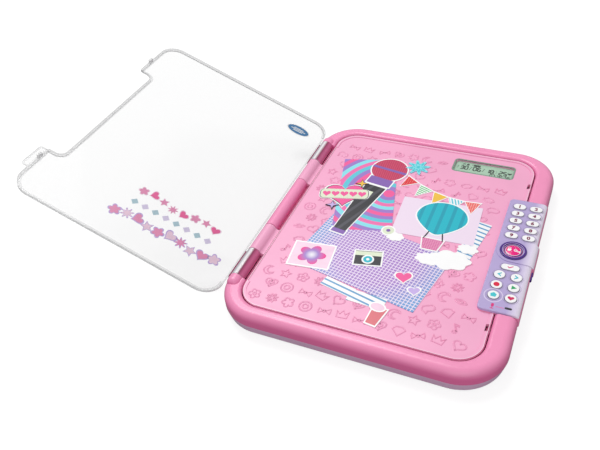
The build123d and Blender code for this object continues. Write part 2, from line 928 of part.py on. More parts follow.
def round_key_spots():
    names = (("back_key", "forward_key"), ("record_key", "play_key"), ("house_key", "heart_key"))
    spots = {}
    for row, pair in enumerate(names):
        for column, name in enumerate(pair):
            spots[name] = (round_column_x[column], round_top_y - row * round_pitch)
    return spots


def long_hole(spot, size, gap):
    """Hole with round ends through the bezel's top, larger than the size by the gap."""
    plan = key_plan(size[0] + 2 * gap, size[1] + 2 * gap)
    return Pos(spot[0], spot[1], door_z) * extrude(plan, bezel_z - door_z)


def make_keypad_bezel():
    body = bezel_outer()
    body -= bezel_inner()
    for spot in number_key_spots().values():
        body -= long_hole(spot, number_key_size, key_hole_gap)
    for x, y in round_key_spots().values():
        body -= upright(x, y, (door_z, bezel_z), round_key_radius + key_hole_gap)
    body -= long_hole(tick_key_at, tick_key_size, key_hole_gap)
    body -= upright(unlock_at[0], unlock_at[1], (door_z, bezel_z), unlock_radius + key_hole_gap)
    body -= long_hole(mic_at, mic_slot, 0)
    body -= switch_slot()
    return body


def make_unlock_surround():
    """Raised saddle round the unlock button that runs over the shoulder and down the side."""
    y = (unlock_at[1] - surround_radius, unlock_at[1] + surround_radius)
    body = bezel_form(surround_rise, surround_reach, y, False)
    plan = Pos(unlock_at[0], unlock_at[1], 0) * Circle(surround_radius)
    reach = bezel_x[1] + surround_reach - unlock_at[0]
    plan += Pos(unlock_at[0] + reach / 2, unlock_at[1], 0) * Rectangle(reach, 2 * surround_radius)
    body &= extrude(plan, bezel_z + surround_rise)
    body -= bezel_form(0, 0, grown(y, cut_over), False)
    top = bezel_z + surround_rise
    body -= upright(unlock_at[0], unlock_at[1], (door_z, top), unlock_radius + key_hole_gap)
    return body


def make_unlock_ring():
    low = bezel_z + surround_rise
    ring = upright(unlock_at[0], unlock_at[1], (low, low + ring_height), ring_outer)
    ring -= upright(unlock_at[0], unlock_at[1], (low, low + ring_height), ring_inner)
    return fillet(top_edges(ring), ring_height / 2)


# ---- Keys: a cap through the bezel and a flange under it ----
def key_solid(cap, flange, top):
    body = extrude(Pos(0, 0, key_flange_z) * cap, top - key_flange_z)
    body = fillet(top_edges(body), key_edge_round)
    return body + extrude(Pos(0, 0, key_flange_z) * flange, key_flange_thickness)


def make_number_key(spot):
    width, height = number_key_size
    flange = key_plan(width + 2 * key_flange, height + 2 * key_flange)
    return Pos(spot[0], spot[1], 0) * key_solid(key_plan(width, height), flange, key_top_z)


def make_round_key(spot):
    flange = Circle(round_key_radius + key_flange)
    return Pos(spot[0], spot[1], 0) * key_solid(Circle(round_key_radius), flange, key_top_z)


def make_tick_key():
    width, height = tick_key_size
    flange = key_plan(width + 2 * key_flange, height + 2 * key_flange)
    at = Pos(tick_key_at[0], tick_key_at[1], 0)
    return at * key_solid(key_plan(width, height), flange, key_top_z)


def make_unlock_button():
    """Magenta button with a domed top."""
    edge_z = bezel_z + unlock_rise - unlock_dome
    body = upright(0, 0, (key_flange_z, edge_z), unlock_radius)
    body += upright(0, 0, (key_flange_z, key_flange_z + key_flange_thickness), unlock_radius + key_flange)
    dome_radius = (unlock_radius**2 + unlock_dome**2) / (2 * unlock_dome)
    centre_z = edge_z + unlock_dome - dome_radius
    cap = Pos(0, 0, centre_z) * Sphere(dome_radius)
    cap &= upright(0, 0, (edge_z, edge_z + unlock_dome), unlock_radius)
    return Pos(unlock_at[0], unlock_at[1], 0) * (body + cap)


# ---- Power switch ----
def switch_span(extra):
    half = switch_length / 2 + extra
    return (switch_y - half, switch_y + half)


def switch_slot():
    """Slot in the bezel's side, long enough for the switch and its travel."""
    y = switch_span(switch_gap)
    half = switch_height / 2 + switch_gap
    wall = (bezel_x[1] - bezel_wall - cut_over, bezel_x[1] + cut_over)
    return block(wall, (y[0] - switch_travel, y[1]), (switch_z - half, switch_z + half))


def switch_room():
    """Room inside the bezel for the switch's plate over its travel."""
    y = switch_span(switch_plate_margin + switch_gap)
    half = switch_height / 2 + switch_plate_margin + switch_gap
    x = (bezel_x[1] - bezel_wall - switch_plate - 2 * switch_gap, bezel_x[1])
    return block(x, (y[0] - switch_travel, y[1]), (switch_z - half, switch_z + half))


def make_power_switch():
    half = switch_height / 2
    inner = bezel_x[1] - bezel_wall - switch_gap
    knob = block((inner, bezel_x[1] + switch_proud), switch_span(0), (switch_z - half, switch_z + half))
    knob = fillet(knob.faces().sort_by(Axis.X)[-1].edges(), half / 2)
    z = (switch_z - half - switch_plate_margin, switch_z + half + switch_plate_margin)
    plate = block((inner - switch_plate, inner), switch_span(switch_plate_margin), z)
    return knob + plate


# ---- Clear lid, made closed and then swung open ----
def lid_x():
    return (hinge_x + lid_root, door_x[1])


def lid_y():
    return (door_y[0] - lid_over_bottom, door_y[1] + lid_over_top)


def lid_block(inset, z):
    """Lid outline with its keypad notch, moved in by the inset on all sides."""
    body = block(grown(lid_x(), -inset), grown(lid_y(), -inset), z, lid_corner - inset)
    notch_x = (bezel_x[0] - notch_side_gap - inset, lid_x()[1] + lid_corner)
    notch_y = (bezel_y[0] - notch_gap_bottom - inset, bezel_y[1] + notch_gap_top + inset)
    return body - block(notch_x, notch_y, z, notch_corner + inset)


def lid_catch(y):
    """Barbed catch that drops into a slot in the door's edge."""
    x1 = door_x[1] - catch_setback
    half = catch_width / 2
    low = lid_z - catch_drop
    stem = block((x1 - catch_thickness, x1), (y - half, y + half), (low, lid_z))
    barb = block((x1, x1 + catch_barb), (y - half, y + half), (low, low + catch_barb_height))
    return stem + barb


def make_clear_lid():
    top = lid_z + lid_thickness
    body = lid_block(0, (lid_z, top))
    tips = body.edges().filter_by(Axis.Z).filter_by_position(
        Axis.X, lid_x()[1] - edge_reach, lid_x()[1] + edge_reach
    )
    body = fillet(tips.sort_by(Axis.Y)[1:-1], tab_round)
    rib_z = (top, top + lid_edge_height)
    rib = lid_block(0, rib_z) - lid_block(lid_edge_width, rib_z)
    rib -= block((lid_x()[0] - cut_over, lid_x()[0] + lid_corner), grown(lid_y(), -lid_corner), rib_z)
    rib_cut = (lid_x()[1] - tab_round, lid_x()[1] + cut_over)
    for span in notch_tip_spans():
        rib -= block(rib_cut, span, rib_z)
    body += rib
    lip_y1 = bezel_y[0] - notch_gap_bottom - finger_lip_offset
    lip = block(
        (lid_x()[1] - finger_lip_reach, lid_x()[1] + finger_lip_reach),
        (lip_y1 - finger_lip_length, lip_y1),
        (lid_z, lid_z + finger_lip_thickness),
        finger_lip_corner,
    )
    body += lip
    for y in catch_y:
        body += lid_catch(y)
    return body.rotate(hinge_axis, lid_open_angle)


def make_lid_knuckles():
    """Two clear knuckles on webs that carry on the lid, made closed and then swung open."""
    knuckles = []
    for span in lid_knuckle_y:
        y = grown(span, -knuckle_gap / 2)
        knuckle = spine_bar(y, knuckle_radius)
        knuckle += block((hinge_x, lid_x()[0]), y, (lid_z, lid_z + lid_thickness))
        knuckle -= spine_bar(y, pin_radius + pin_clearance)
        knuckles.append(knuckle.rotate(hinge_axis, lid_open_angle))
    return Compound(children=knuckles)


def notch_tip_spans():
    """Y spans at the two rounded tips beside the keypad notch."""
    low = bezel_y[0] - notch_gap_bottom
    high = bezel_y[1] + notch_gap_top
    return ((low - tab_round, low + cut_over), (high - cut_over, high + tab_round))


def build():
    save(make_bottom_shell(), "bottom_shell")
    save(make_top_frame(), "top_frame")
    save(make_keeper(), "latch_keeper")
    lower, upper = pin_spans()
    save(make_hinge_pin(lower), "hinge_pin_lower")
    save(make_hinge_pin(upper), "hinge_pin_upper")
    save(make_case_screws(), "case_screws")
    save(make_rubber_feet(), "rubber_feet")
    save(make_notepad_back(), "notepad_back")
    save(make_notepad_pages(), "notepad_pages")

    save(make_door_panel(), "door_panel")
    save(make_door_barrels(), "door_hinge_barrels")
    save(make_door_back(), "door_back_cover")
    save(make_door_screws(), "door_screws")
    save(make_display_lens(), "display_lens")
    save(make_display_module(), "display_module")
    save(make_main_board(), "main_board")
    save(make_key_board(), "key_board")
    save(make_key_mat(), "key_mat")
    save(make_microphone(), "microphone")
    save(make_speaker(), "speaker")
    save(make_batteries(), "batteries")
    save(make_battery_contacts(), "battery_contacts")
    save(make_battery_cover(), "battery_cover")
    save(make_battery_screw(), "battery_screw")
    save(make_lock_motor(), "lock_motor")
    save(make_keypad_bezel(), "keypad_bezel")
    save(make_unlock_surround(), "unlock_surround")
    save(make_unlock_ring(), "unlock_ring")

    for digit, spot in number_key_spots().items():
        save(make_number_key(spot), "number_key_" + str(digit))
    for name, spot in round_key_spots().items():
        save(make_round_key(spot), name)
    save(make_tick_key(), "tick_key")
    save(make_unlock_button(), "unlock_button")
    save(make_latch_bolt(), "latch_bolt")
    save(make_power_switch(), "power_switch")
    save(make_clear_lid(), "clear_lid")
    save(make_lid_knuckles(), "lid_hinge_knuckles")


build()
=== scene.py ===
import itertools
import json
import math
import random

import bpy
from mathutils import Matrix, Vector


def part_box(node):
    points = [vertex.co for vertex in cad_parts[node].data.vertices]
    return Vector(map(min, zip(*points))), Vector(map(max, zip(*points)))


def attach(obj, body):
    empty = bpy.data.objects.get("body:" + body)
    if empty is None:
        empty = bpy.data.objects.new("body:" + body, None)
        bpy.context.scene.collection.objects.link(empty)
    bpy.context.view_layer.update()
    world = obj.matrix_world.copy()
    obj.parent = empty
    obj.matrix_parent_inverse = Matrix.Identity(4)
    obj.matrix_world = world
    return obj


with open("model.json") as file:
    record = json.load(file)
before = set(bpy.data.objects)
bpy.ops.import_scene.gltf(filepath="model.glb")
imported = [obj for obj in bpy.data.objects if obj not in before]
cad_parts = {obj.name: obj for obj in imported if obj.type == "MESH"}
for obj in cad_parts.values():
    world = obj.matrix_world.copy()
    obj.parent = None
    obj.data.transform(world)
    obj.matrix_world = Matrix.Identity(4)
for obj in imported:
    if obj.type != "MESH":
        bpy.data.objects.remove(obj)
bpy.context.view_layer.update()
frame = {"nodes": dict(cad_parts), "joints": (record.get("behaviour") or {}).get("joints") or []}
nodes = frame["nodes"]

# Sizes are in millimetres and turned into metres by mm() where Blender needs them.
MM = 0.001
X, Y, Z = 0, 1, 2


def mm(*values):
    """Millimetres as a vector in metres."""
    return Vector(value * MM for value in values)


def low(node, axis):
    """Lowest value of a node on an axis, in millimetres."""
    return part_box(node)[0][axis] / MM


def high(node, axis):
    """Highest value of a node on an axis, in millimetres."""
    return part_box(node)[1][axis] / MM


def xy_box(node):
    """Left, right, bottom and top of a node as seen from above."""
    return low(node, X), high(node, X), low(node, Y), high(node, Y)


def middle_of(node):
    """Middle of a node as seen from above."""
    left, right, bottom, top = xy_box(node)
    return (left + right) / 2, (bottom + top) / 2


# ---- Levels that the printed and moulded details stand on ----
door_lip_height = 0.6
door_face = high("display_lens", Z)
door_edge_top = door_face + door_lip_height
keypad_top = high("keypad_bezel", Z)
key_top = high("tick_key", Z)
display_face = high("display_module", Z)
hinge = next(joint for joint in frame["joints"] if joint["name"] == "lid_hinge")
hinge_x = hinge["pos_m"][0] / MM
hinge_z = hinge["pos_m"][2] / MM
lid_open_angle = math.radians(-hinge["range_deg"][0])
lid_clearance = 0.3
lid_thickness = 1.8
lid_under = high("top_frame", Z) + lid_clearance
lid_top = lid_under + lid_thickness

number_keys = [f"number_key_{digit}" for digit in range(10)]
sign_keys = ["tick_key", "back_key", "forward_key", "record_key", "play_key", "house_key", "heart_key"]

# ---- Colours, linear ----
door_pink = (0.86, 0.384, 0.576)
rim_pink = (0.87, 0.29, 0.50)
# Darker pink painted on the rim's sides as shade; rim_pink above is the rim's own colour.
rim_shaded_side_pink = (0.80, 0.15, 0.37)
shell_lilac = (0.82, 0.52, 0.74)
keypad_lilac = (0.45, 0.37, 0.64)
# Pale lilac painted at the keypad's outer end as a highlight.
keypad_painted_highlight = (0.80, 0.73, 0.86)
# Bands across the clear knuckles: pin and seat seen through them, a painted highlight stripe and painted
# shade in the seat.
knuckle_bands_with_painted_light = (
    (0.80, 0.80, 0.82), (0.42, 0.38, 0.42), (0.86, 0.86, 0.88), (0.24, 0.03, 0.09), (0.62, 0.13, 0.29),
)
white = (0.90, 0.90, 0.91)
# Grey painted on the keys' edges and flanks as shade.
key_flank_shade_grey = (0.46, 0.43, 0.52)
purple = (0.065, 0.02, 0.21)
magenta = (0.80, 0.008, 0.21)
hot_pink = (0.86, 0.105, 0.33)
teal = (0.01, 0.46, 0.56)
pale_teal = (0.25, 0.72, 0.80)
lcd_green = (0.42, 0.62, 0.47)
lcd_edge = (0.20, 0.33, 0.25)
lcd_ink = (0.012, 0.022, 0.015)
charcoal = (0.03, 0.03, 0.036)
coral = (0.83, 0.11, 0.10)
flag_red = (0.70, 0.015, 0.03)
violet_soft = (0.33, 0.19, 0.56)
pale_teal_deep = (0.11, 0.56, 0.68)
magenta_bright = (0.80, 0.02, 0.27)
coral_pink = (0.84, 0.16, 0.42)
clear_grey = (0.56, 0.56, 0.58)
ink_colours = {
    "charcoal": charcoal,
    "purple": purple,
    "violet": (0.235, 0.12, 0.43),
    "lilac": (0.56, 0.42, 0.78),
    "pale_lilac": (0.70, 0.62, 0.83),
    "pink": hot_pink,
    "pale_pink": (0.88, 0.62, 0.76),
    "rose": (0.82, 0.27, 0.48),
    "magenta": (0.72, 0.03, 0.20),
    "crimson": (0.62, 0.012, 0.11),
    "red": (0.72, 0.012, 0.055),
    "coral": (0.70, 0.15, 0.18),
    "yellow": (0.85, 0.52, 0.06),
    "cream": (0.72, 0.79, 0.60),
    "green": (0.02, 0.36, 0.13),
    "teal": teal,
    "teal_soft": (0.06, 0.56, 0.62),
    "pale_teal": pale_teal,
    "mist": (0.42, 0.60, 0.68),
    "sky": (0.045, 0.20, 0.43),
    "digit": (0.22, 0.01, 0.07),
    # Dark line painted round the keys as the shade in their gaps.
    "key_gap_shade": (0.30, 0.25, 0.40),
    # Dark pink painted as shade in the groove round the door and its catch slots; pale line below painted
    # on the door lip's edge as a highlight.
    "groove_shade": (0.52, 0.09, 0.23),
    "edge_highlight": (0.94, 0.72, 0.82),
}

# ---- Printed and moulded details ----
emboss_width = 1.5
emboss_height = 0.45
emboss_pitch = (14.8, 14.2)
emboss_size = 4.9
emboss_margin = 13.0
emboss_spare = 1.5
emboss_shift = 1.0
emboss_turn = 0.5
emboss_smooth_angle = 50
under_stickers = ((-58.0, -20.0, -12.0, 74.0), (-48.0, 30.0, -70.0, -12.0), (2.0, 56.0, 2.0, 36.0))
sticker_base = 0.50
sticker_step = 0.05
sticker_stagger = 0.002
sticker_border = 1.3
ink = 0.05
ink_lift = 1.2
digit_size = 5.1
digit_boldness = 0.27
# Width of the painted shade line round each key.
key_gap_shade_width = 0.25
key_gap = 0.3
dome_radius = 22.2
mic_slot_left = 102.9
display_border = 1.2
display_corner = 3.9
lens_gap = 0.1
keypad_lip_height = 2.2
keypad_lip_blend = 0.1
# Where the keypad's painted highlight starts and where it is full, along X.
keypad_highlight_fade = (104.0, 113.0)
door_corner = 20.6
# Widths of the painted groove shade and the painted lip highlight.
groove_shade_width = 0.6
edge_highlight_width = 0.4
catch_from_top = 36.6
catch_from_bottom = 36.5
catch_slot_depth = 2.8
catch_slot_inset = 1.6
catch_slot_half = (1.3, 2.9)
# Width and tint of the band of painted shade along the lid's edge.
lid_edge_shade_width = 1.6
lid_barb_drop = 2.0
outward_share = 0.99
lid_tint = 0.955
lid_edge_shade_tint = 0.97
star_card_at = (-58.0, -57.0)
wave_centre = (-22.0, 40.0)
grid_middle_at = (-6.0, -40.0)

# ---- Grain and gloss ----
fine_grain = 900
rubber_grain = 1500
steel_grain = 2500
grain_depth = 0.02
steel_grain_depth = 0.01
plastic_drift = 0.03
plastic_drift_scale = 22
print_drift_scale = 160
gloss_scale = 60
gloss_spread = 0.05

# ---- Sizes of the stage, lamps and camera ----
floor_size = 8
floor_grey = (0.27, 0.27, 0.27)
floor_glow = 0.80
world_strength = 0.48
lamps = (("key_lamp", (-0.6, 0.5, 1.4), 0.8, 15), ("fill_lamp", (0.5, -1.1, 0.8), 1.2, 5))
camera_at = (132.8, -432.0, 413.2)
camera_angles = (49.315, 5.052, 23.568)
camera_lens = 41.17
camera_sensor = 36
camera_nearest = 0.01


# ---- Hands-on helpers ----
def deselect():
    """Nothing stays selected."""
    bpy.ops.object.select_all(action="DESELECT")


def pick(piece):
    """Selects one piece alone."""
    deselect()
    piece.select_set(True)
    bpy.context.view_layer.objects.active = piece


def settle(piece):
    """The piece's place, turn and size go into its mesh."""
    pick(piece)
    bpy.ops.object.transform_apply(location=True, rotation=True, scale=True)
    return piece


def thicken(piece, height):
    """Gives a flat face its thickness, upwards."""
    pick(piece)
    bpy.ops.object.modifier_add(type="SOLIDIFY")
    wall = piece.modifiers[-1]
    wall.thickness = height * MM
    wall.offset = 1
    bpy.ops.object.modifier_apply(modifier=wall.name)
    return piece


def keep_border(width):
    """Of the active piece's flat faces, keeps a band along the outline."""
    bpy.ops.object.mode_set(mode="EDIT")
    bpy.ops.mesh.select_all(action="SELECT")
    bpy.ops.mesh.inset(thickness=width * MM)
    bpy.ops.mesh.delete(type="FACE")
    bpy.ops.object.mode_set(mode="OBJECT")


def joined(name, parts):
    """Several parts as one named piece."""
    deselect()
    for part in parts:
        part.select_set(True)
    bpy.context.view_layer.objects.active = parts[0]
    if len(parts) > 1:
        bpy.ops.object.join()
    piece = bpy.context.object
    piece.name = name
    piece.data.name = name
    return piece


def paint(piece, look):
    """The piece gets one material, which may be given by its name among the looks."""
    piece.data.materials.clear()
    piece.data.materials.append(looks[look] if isinstance(look, str) else look)
    return piece


# ---- Outlines: each takes the way round, from 0 to 1, and gives a point about one unit out ----
def curve_of(count):
    """Marks a formula as an outline of that many corners."""

    def mark(formula):
        formula.corners = count
        return formula

    return mark


def corners_of(*points):
    """Outline with these corners."""
    return curve_of(len(points))(lambda way: points[round(way * len(points)) % len(points)])


def around(way, radius=1):
    """Point of a circle."""
    angle = way * math.tau
    return radius * math.cos(angle), radius * math.sin(angle)


@curve_of(32)
def disc(way):
    return around(way)


@curve_of(30)
def heart(way):
    angle = way * math.tau
    x = math.sin(angle) ** 3
    lobes = 13 * math.cos(angle) - 5 * math.cos(2 * angle) - 2 * math.cos(3 * angle)
    return -x, (lobes - math.cos(4 * angle)) / 16


@curve_of(40)
def flower(way):
    return around(way, 0.60 + 0.40 * abs(math.cos(2.5 * way * math.tau)))


@curve_of(36)
def daisy(way):
    return around(way, 0.72 + 0.28 * math.cos(8 * way * math.tau))


@curve_of(36)
def cloud(way):
    x, y = around(way, 0.80 + 0.20 * abs(math.cos(3.5 * way * math.tau)))
    return x, 0.62 * y


@curve_of(24)
def leaf(way):
    x, y = around(way)
    return x, 0.45 * y * (1 - 0.55 * x * x)


@curve_of(24)
def moon(way):
    """Crescent: out along a wide arc and back along a tighter one."""
    if way < 0.5:
        angle = math.radians(50 + 560 * way)
        return math.cos(angle), math.sin(angle)
    angle = math.radians(304 - 496 * (way - 0.5))
    return 0.34 + 0.72 * math.cos(angle), 0.72 * math.sin(angle)


@curve_of(32)
def balloon(way):
    """Round above, drawn in towards the basket below."""
    x, y = around(way)
    pull = max(0, -y)
    return x * (1 - 0.42 * pull * pull), y * (1 + 0.16 * pull)


def pointed(points, inner, start=0):
    """Star whose notches reach in to the inner radius."""

    @curve_of(2 * points)
    def outline(way):
        tip = round(way * 2 * points) % 2 == 0
        return around(way + start, 1 if tip else inner)

    return outline


star = pointed(5, 0.48, 0.25)
sparkle = pointed(4, 0.34)
bolt = corners_of(
    (0.15, 1), (-0.5, -0.1), (-0.05, -0.1), (-0.2, -1), (0.5, 0.25), (0.05, 0.25), (0.4, 1),
)
diamond = corners_of((0, -1), (1, 0.25), (0.55, 0.8), (-0.55, 0.8), (-1, 0.25))
square = corners_of((1, 1), (-1, 1), (-1, -1), (1, -1))
pennant = corners_of((1, 1), (-1, 1), (0, -1))
note_stem = corners_of((0.30, -0.6), (0.30, 0.95), (0.95, 0.55), (0.95, 0.25), (0.48, 0.50), (0.48, -0.6))
bubble = corners_of(
    (-0.3, -0.45), (-0.6, -0.95), (-0.75, -0.40), (-1, -0.15), (-1, 0.35), (-0.65, 0.7),
    (0.65, 0.7), (1, 0.35), (1, -0.15), (0.65, -0.45),
)
crown = corners_of(
    (-0.8, -0.6), (0.8, -0.6), (1, 0.7), (0.45, 0.1), (0, 0.9), (-0.45, 0.1), (-1, 0.7),
)


def smaller(outline, size, x=0, y=0, stretch=1):
    """The same outline at another size, and off its centre if wished."""

    @curve_of(outline.corners)
    def shrunk(way):
        point = outline(way)
        return x + point[0] * size, y + point[1] * size * stretch

    return shrunk


def stadium(width, height):
    """Outline with full round ends, in millimetres."""
    radius = height / 2
    straight = width / 2 - radius

    @curve_of(48)
    def outline(way):
        x, y = around(way, radius)
        return x + (straight if way <= 0.25 or way > 0.75 else -straight), y

    return outline


def rounded_box(width, height, corner):
    """Rounded rectangle in millimetres, twelve points to a corner."""

    @curve_of(48)
    def outline(way):
        quarter = min(int(way * 4), 3)
        x, y = around(way, corner)
        side_x = 1 if quarter in (0, 3) else -1
        side_y = 1 if quarter < 2 else -1
        return side_x * (width / 2 - corner) + x, side_y * (height / 2 - corner) + y

    return outline


bow_wing = corners_of((-0.18, 0), (-0.95, -0.55), (-1, 0), (-0.95, 0.55))
bow = (smaller(disc, 0.2), bow_wing, smaller(bow_wing, -1))
music_note = (smaller(disc, 0.3, 0.05, -0.62, 0.8), note_stem)

doodles = (
    (flower, smaller(disc, 0.25)), (heart,), bow, (daisy, smaller(disc, 0.3)),
    music_note, (heart, smaller(heart, 0.45)), (bubble,), (flower,),
    (diamond,), (disc, smaller(disc, 0.45)), (cloud,), (moon,),
    bow, (star,), (leaf, smaller(leaf, 0.4)), (crown,),
)


def start_outline(outline, filled):
    """A circle whose corners are moved onto an outline."""
    deselect()
    fill = "NGON" if filled else "NOTHING"
    bpy.ops.mesh.primitive_circle_add(vertices=outline.corners, radius=1, fill_type=fill)
    piece = bpy.context.object
    for number, corner in enumerate(piece.data.vertices):
        corner.co = (*outline(number / outline.corners), 0)
    if filled and piece.data.polygons[0].normal.z < 0:
        bpy.ops.object.mode_set(mode="EDIT")
        bpy.ops.mesh.select_all(action="SELECT")
        bpy.ops.mesh.flip_normals()
        bpy.ops.object.mode_set(mode="OBJECT")
    return piece


def both_ways(size):
    """Width and depth of a size that may be given as one number."""
    return size if isinstance(size, tuple) else (size, size)


def filled_outline(outline, spot, size, level, turn=0):
    """Face with an outline, laid at a spot; all in millimetres, the turn in degrees."""
    piece = start_outline(outline, True)
    piece.scale = mm(*both_ways(size), 1 / MM)
    piece.rotation_euler.z = math.radians(turn)
    piece.location = mm(*spot, level)
    return settle(piece)


def flat(outline, spot, size, level, height, material, turn=0):
    """Thin plate with an outline."""
    piece = filled_outline(outline, spot, size, level, turn)
    return paint(thicken(piece, height), material)


def ring_plate(outline, spot, size, width, level, height, material):
    """Thin flat ring along an outline, of an even width."""
    piece = filled_outline(outline, spot, size, level)
    keep_border(width)
    return paint(thicken(piece, height), material)


def line_ring(outline, size, width):
    """Round cord bent to an outline, for lines that stand up from a face."""
    piece = start_outline(outline, False)
    piece.scale = mm(size, size, size)
    settle(piece)
    bpy.ops.object.convert(target="CURVE")
    line = bpy.context.object
    line.data.bevel_depth = width / 2 * MM
    line.data.bevel_resolution = 1
    bpy.ops.object.convert(target="MESH")
    return bpy.context.object


# ---- Shader nodes ----
def new_material(name):
    """Material with its node tree."""
    material = bpy.data.materials.new(name)
    material.use_nodes = True
    return material, material.node_tree


def feed(tree, socket, value):
    """Links a socket to another one, or gives it a number, a vector or a colour."""
    if isinstance(value, bpy.types.NodeSocket):
        tree.links.new(value, socket)
    elif socket.type == "RGBA":
        socket.default_value = (*value, 1)
    else:
        socket.default_value = value


def add_node(tree, kind, **values):
    """New shader node; each input is fed, with an underscore for a space in its name."""
    node = tree.nodes.new(f"ShaderNode{kind}")
    for name, value in values.items():
        feed(tree, node.inputs[name.replace("_", " ")], value)
    return node


def calculate(tree, operation, *terms, kind="Math"):
    """Outcome of an operation on numbers, vectors or sockets."""
    node = add_node(tree, kind)
    node.operation = operation
    for socket, term in zip(node.inputs, terms):
        feed(tree, socket, term)
    return node.outputs["Value"]


def surface(tree, output):
    """Place or direction of the surface."""
    return add_node(tree, "TexCoord").outputs[output]


def axis_of(tree, output, axis):
    """One axis of the surface's place or direction."""
    return add_node(tree, "SeparateXYZ", Vector=surface(tree, output)).outputs[axis]


def centred_on(tree, spot, turn=0, radius=1 / MM):
    """Places measured from a spot, in radii of the pattern."""
    mapping = add_node(tree, "Mapping", Vector=surface(tree, "Object"))
    mapping.vector_type = "TEXTURE"
    mapping.inputs["Location"].default_value = mm(*spot)
    mapping.inputs["Rotation"].default_value = (0, 0, math.radians(turn))
    mapping.inputs["Scale"].default_value = mm(radius, radius, radius)
    return mapping.outputs["Vector"]


def closeness(tree, spot, radius):
    """1 at a spot, 0 from the radius outwards."""
    ball = add_node(tree, "TexGradient", Vector=centred_on(tree, spot, 0, radius))
    ball.gradient_type = "SPHERICAL"
    return ball.outputs["Fac"]


def noise(tree, scale, detail=2):
    """Value that drifts over the surface."""
    cloudy = add_node(tree, "TexNoise", Vector=surface(tree, "Object"), Scale=scale, Detail=detail)
    return cloudy.outputs["Fac"]


def share_between(tree, value, start, end, first=0, last=1):
    """Goes from the first number to the last as a value goes from the start to the end."""
    limits = {"From_Min": start, "From_Max": end, "To_Min": first, "To_Max": last}
    return add_node(tree, "MapRange", Value=value, **limits).outputs["Result"]


def blend(tree, share, first, second):
    """Goes from the first colour to the second as the share rises; each is a colour or a socket."""
    return add_node(tree, "MixRGB", Fac=share, Color1=first, Color2=second).outputs["Color"]


def ramp(tree, share, stops, interpolation="LINEAR"):
    """Colour that changes as the share rises; each stop is a place from 0 to 1 and a colour."""
    node = add_node(tree, "ValToRGB", Fac=share)
    node.color_ramp.interpolation = interpolation
    steps = node.color_ramp.elements
    for step, (place, colour) in ((steps[0], stops[0]), (steps[1], stops[-1])):
        step.position = place
        step.color = (*colour, 1)
    for place, colour in stops[1:-1]:
        steps.new(place).color = (*colour, 1)
    return node.outputs["Color"]


def spread_out(colours, intervals):
    """Stops of a ramp, one interval apart."""
    return [(number / intervals, colour) for number, colour in enumerate(colours)]


def mottle(tree, colour, amount=plastic_drift, scale=plastic_drift_scale):
    """Colour that drifts a little over the surface, as moulded plastic does."""
    darker = [channel * (1 - amount) for channel in colour]
    paler = [min(1, channel * (1 + amount)) for channel in colour]
    return ramp(tree, noise(tree, scale, 3), ((0.30, darker), (0.70, paler)))


def shader_of(material):
    """The shader every new material comes with."""
    return material.node_tree.nodes["Principled BSDF"]


def finished(material, colour, rough, grain=None, depth=grain_depth):
    """Gives a material its colour, its roughness and, where a scale is given, a fine grain."""
    tree, shader = material.node_tree, shader_of(material)
    feed(tree, shader.inputs["Base Color"], colour)
    feed(tree, shader.inputs["Roughness"], rough)
    if grain:
        bump = add_node(tree, "Bump", Height=noise(tree, grain), Distance=depth * MM, Strength=1)
        feed(tree, shader.inputs["Normal"], bump.outputs["Normal"])
    return material


# ---- Finishes ----
def moulded(name, colour, rough=0.34, drift=plastic_drift, grain=fine_grain):
    """Moulded plastic: slight colour drift, fine grain and uneven gloss."""
    material, tree = new_material(name)
    uneven = noise(tree, gloss_scale)
    gloss = share_between(tree, uneven, 0, 1, rough - gloss_spread, rough + gloss_spread)
    return finished(material, mottle(tree, colour, drift), gloss, grain)


def printed(name, colour, rough=0.30, drift=0.04):
    """Printed ink: even gloss with a trace of unevenness in the colour."""
    material, tree = new_material(name)
    return finished(material, mottle(tree, colour, drift, print_drift_scale), rough)


def metal(name, colour, rough):
    """Plated or drawn steel with a very fine grain."""
    material, tree = new_material(name)
    shader_of(material).inputs["Metallic"].default_value = 1
    return finished(material, mottle(tree, colour, 0.08, 300), rough, steel_grain, steel_grain_depth)


def clear_plastic(name, flat_normal, flat_share, edge_share, colour, tint=1):
    """Clear sheet: nearly unseen through its faces but for a tint, greyer through edges and ribs."""
    material, tree = new_material(name)
    shader = shader_of(finished(material, colour, 0.08))
    shader.inputs["IOR"].default_value = 1.49
    open_way = add_node(tree, "BsdfTransparent", Color=(tint, tint, tint))
    facing = calculate(tree, "DOT_PRODUCT", surface(tree, "Normal"), flat_normal, kind="VectorMath")
    flatness = calculate(tree, "ABSOLUTE", facing)
    share = share_between(tree, flatness, 0.35, 0.97, edge_share, flat_share)
    choose = add_node(tree, "MixShader", Fac=share)
    tree.links.new(open_way.outputs["BSDF"], choose.inputs[1])
    tree.links.new(shader.outputs["BSDF"], choose.inputs[2])
    tree.links.new(choose.outputs["Shader"], tree.nodes["Material Output"].inputs["Surface"])
    return material


def key_finish(name, top, side):
    """Pale top face; its rounded edge and flanks are painted grey as shade."""
    material, tree = new_material(name)
    facing_up = share_between(tree, axis_of(tree, "Normal", "Z"), 0.80, 0.95)
    colour = blend(tree, facing_up, side, mottle(tree, top, 0.015))
    return finished(material, colour, 0.28, fine_grain)


def rim_finish(name, top, side):
    """Pink that is painted paler where the rim looks up and darker down its sides, as painted shade of how
    the light falls.
    """
    material, tree = new_material(name)
    facing_up = share_between(tree, axis_of(tree, "Normal", "Z"), 0.10, 0.90)
    colour = blend(tree, facing_up, mottle(tree, side), mottle(tree, top))
    return finished(material, colour, 0.30, fine_grain)


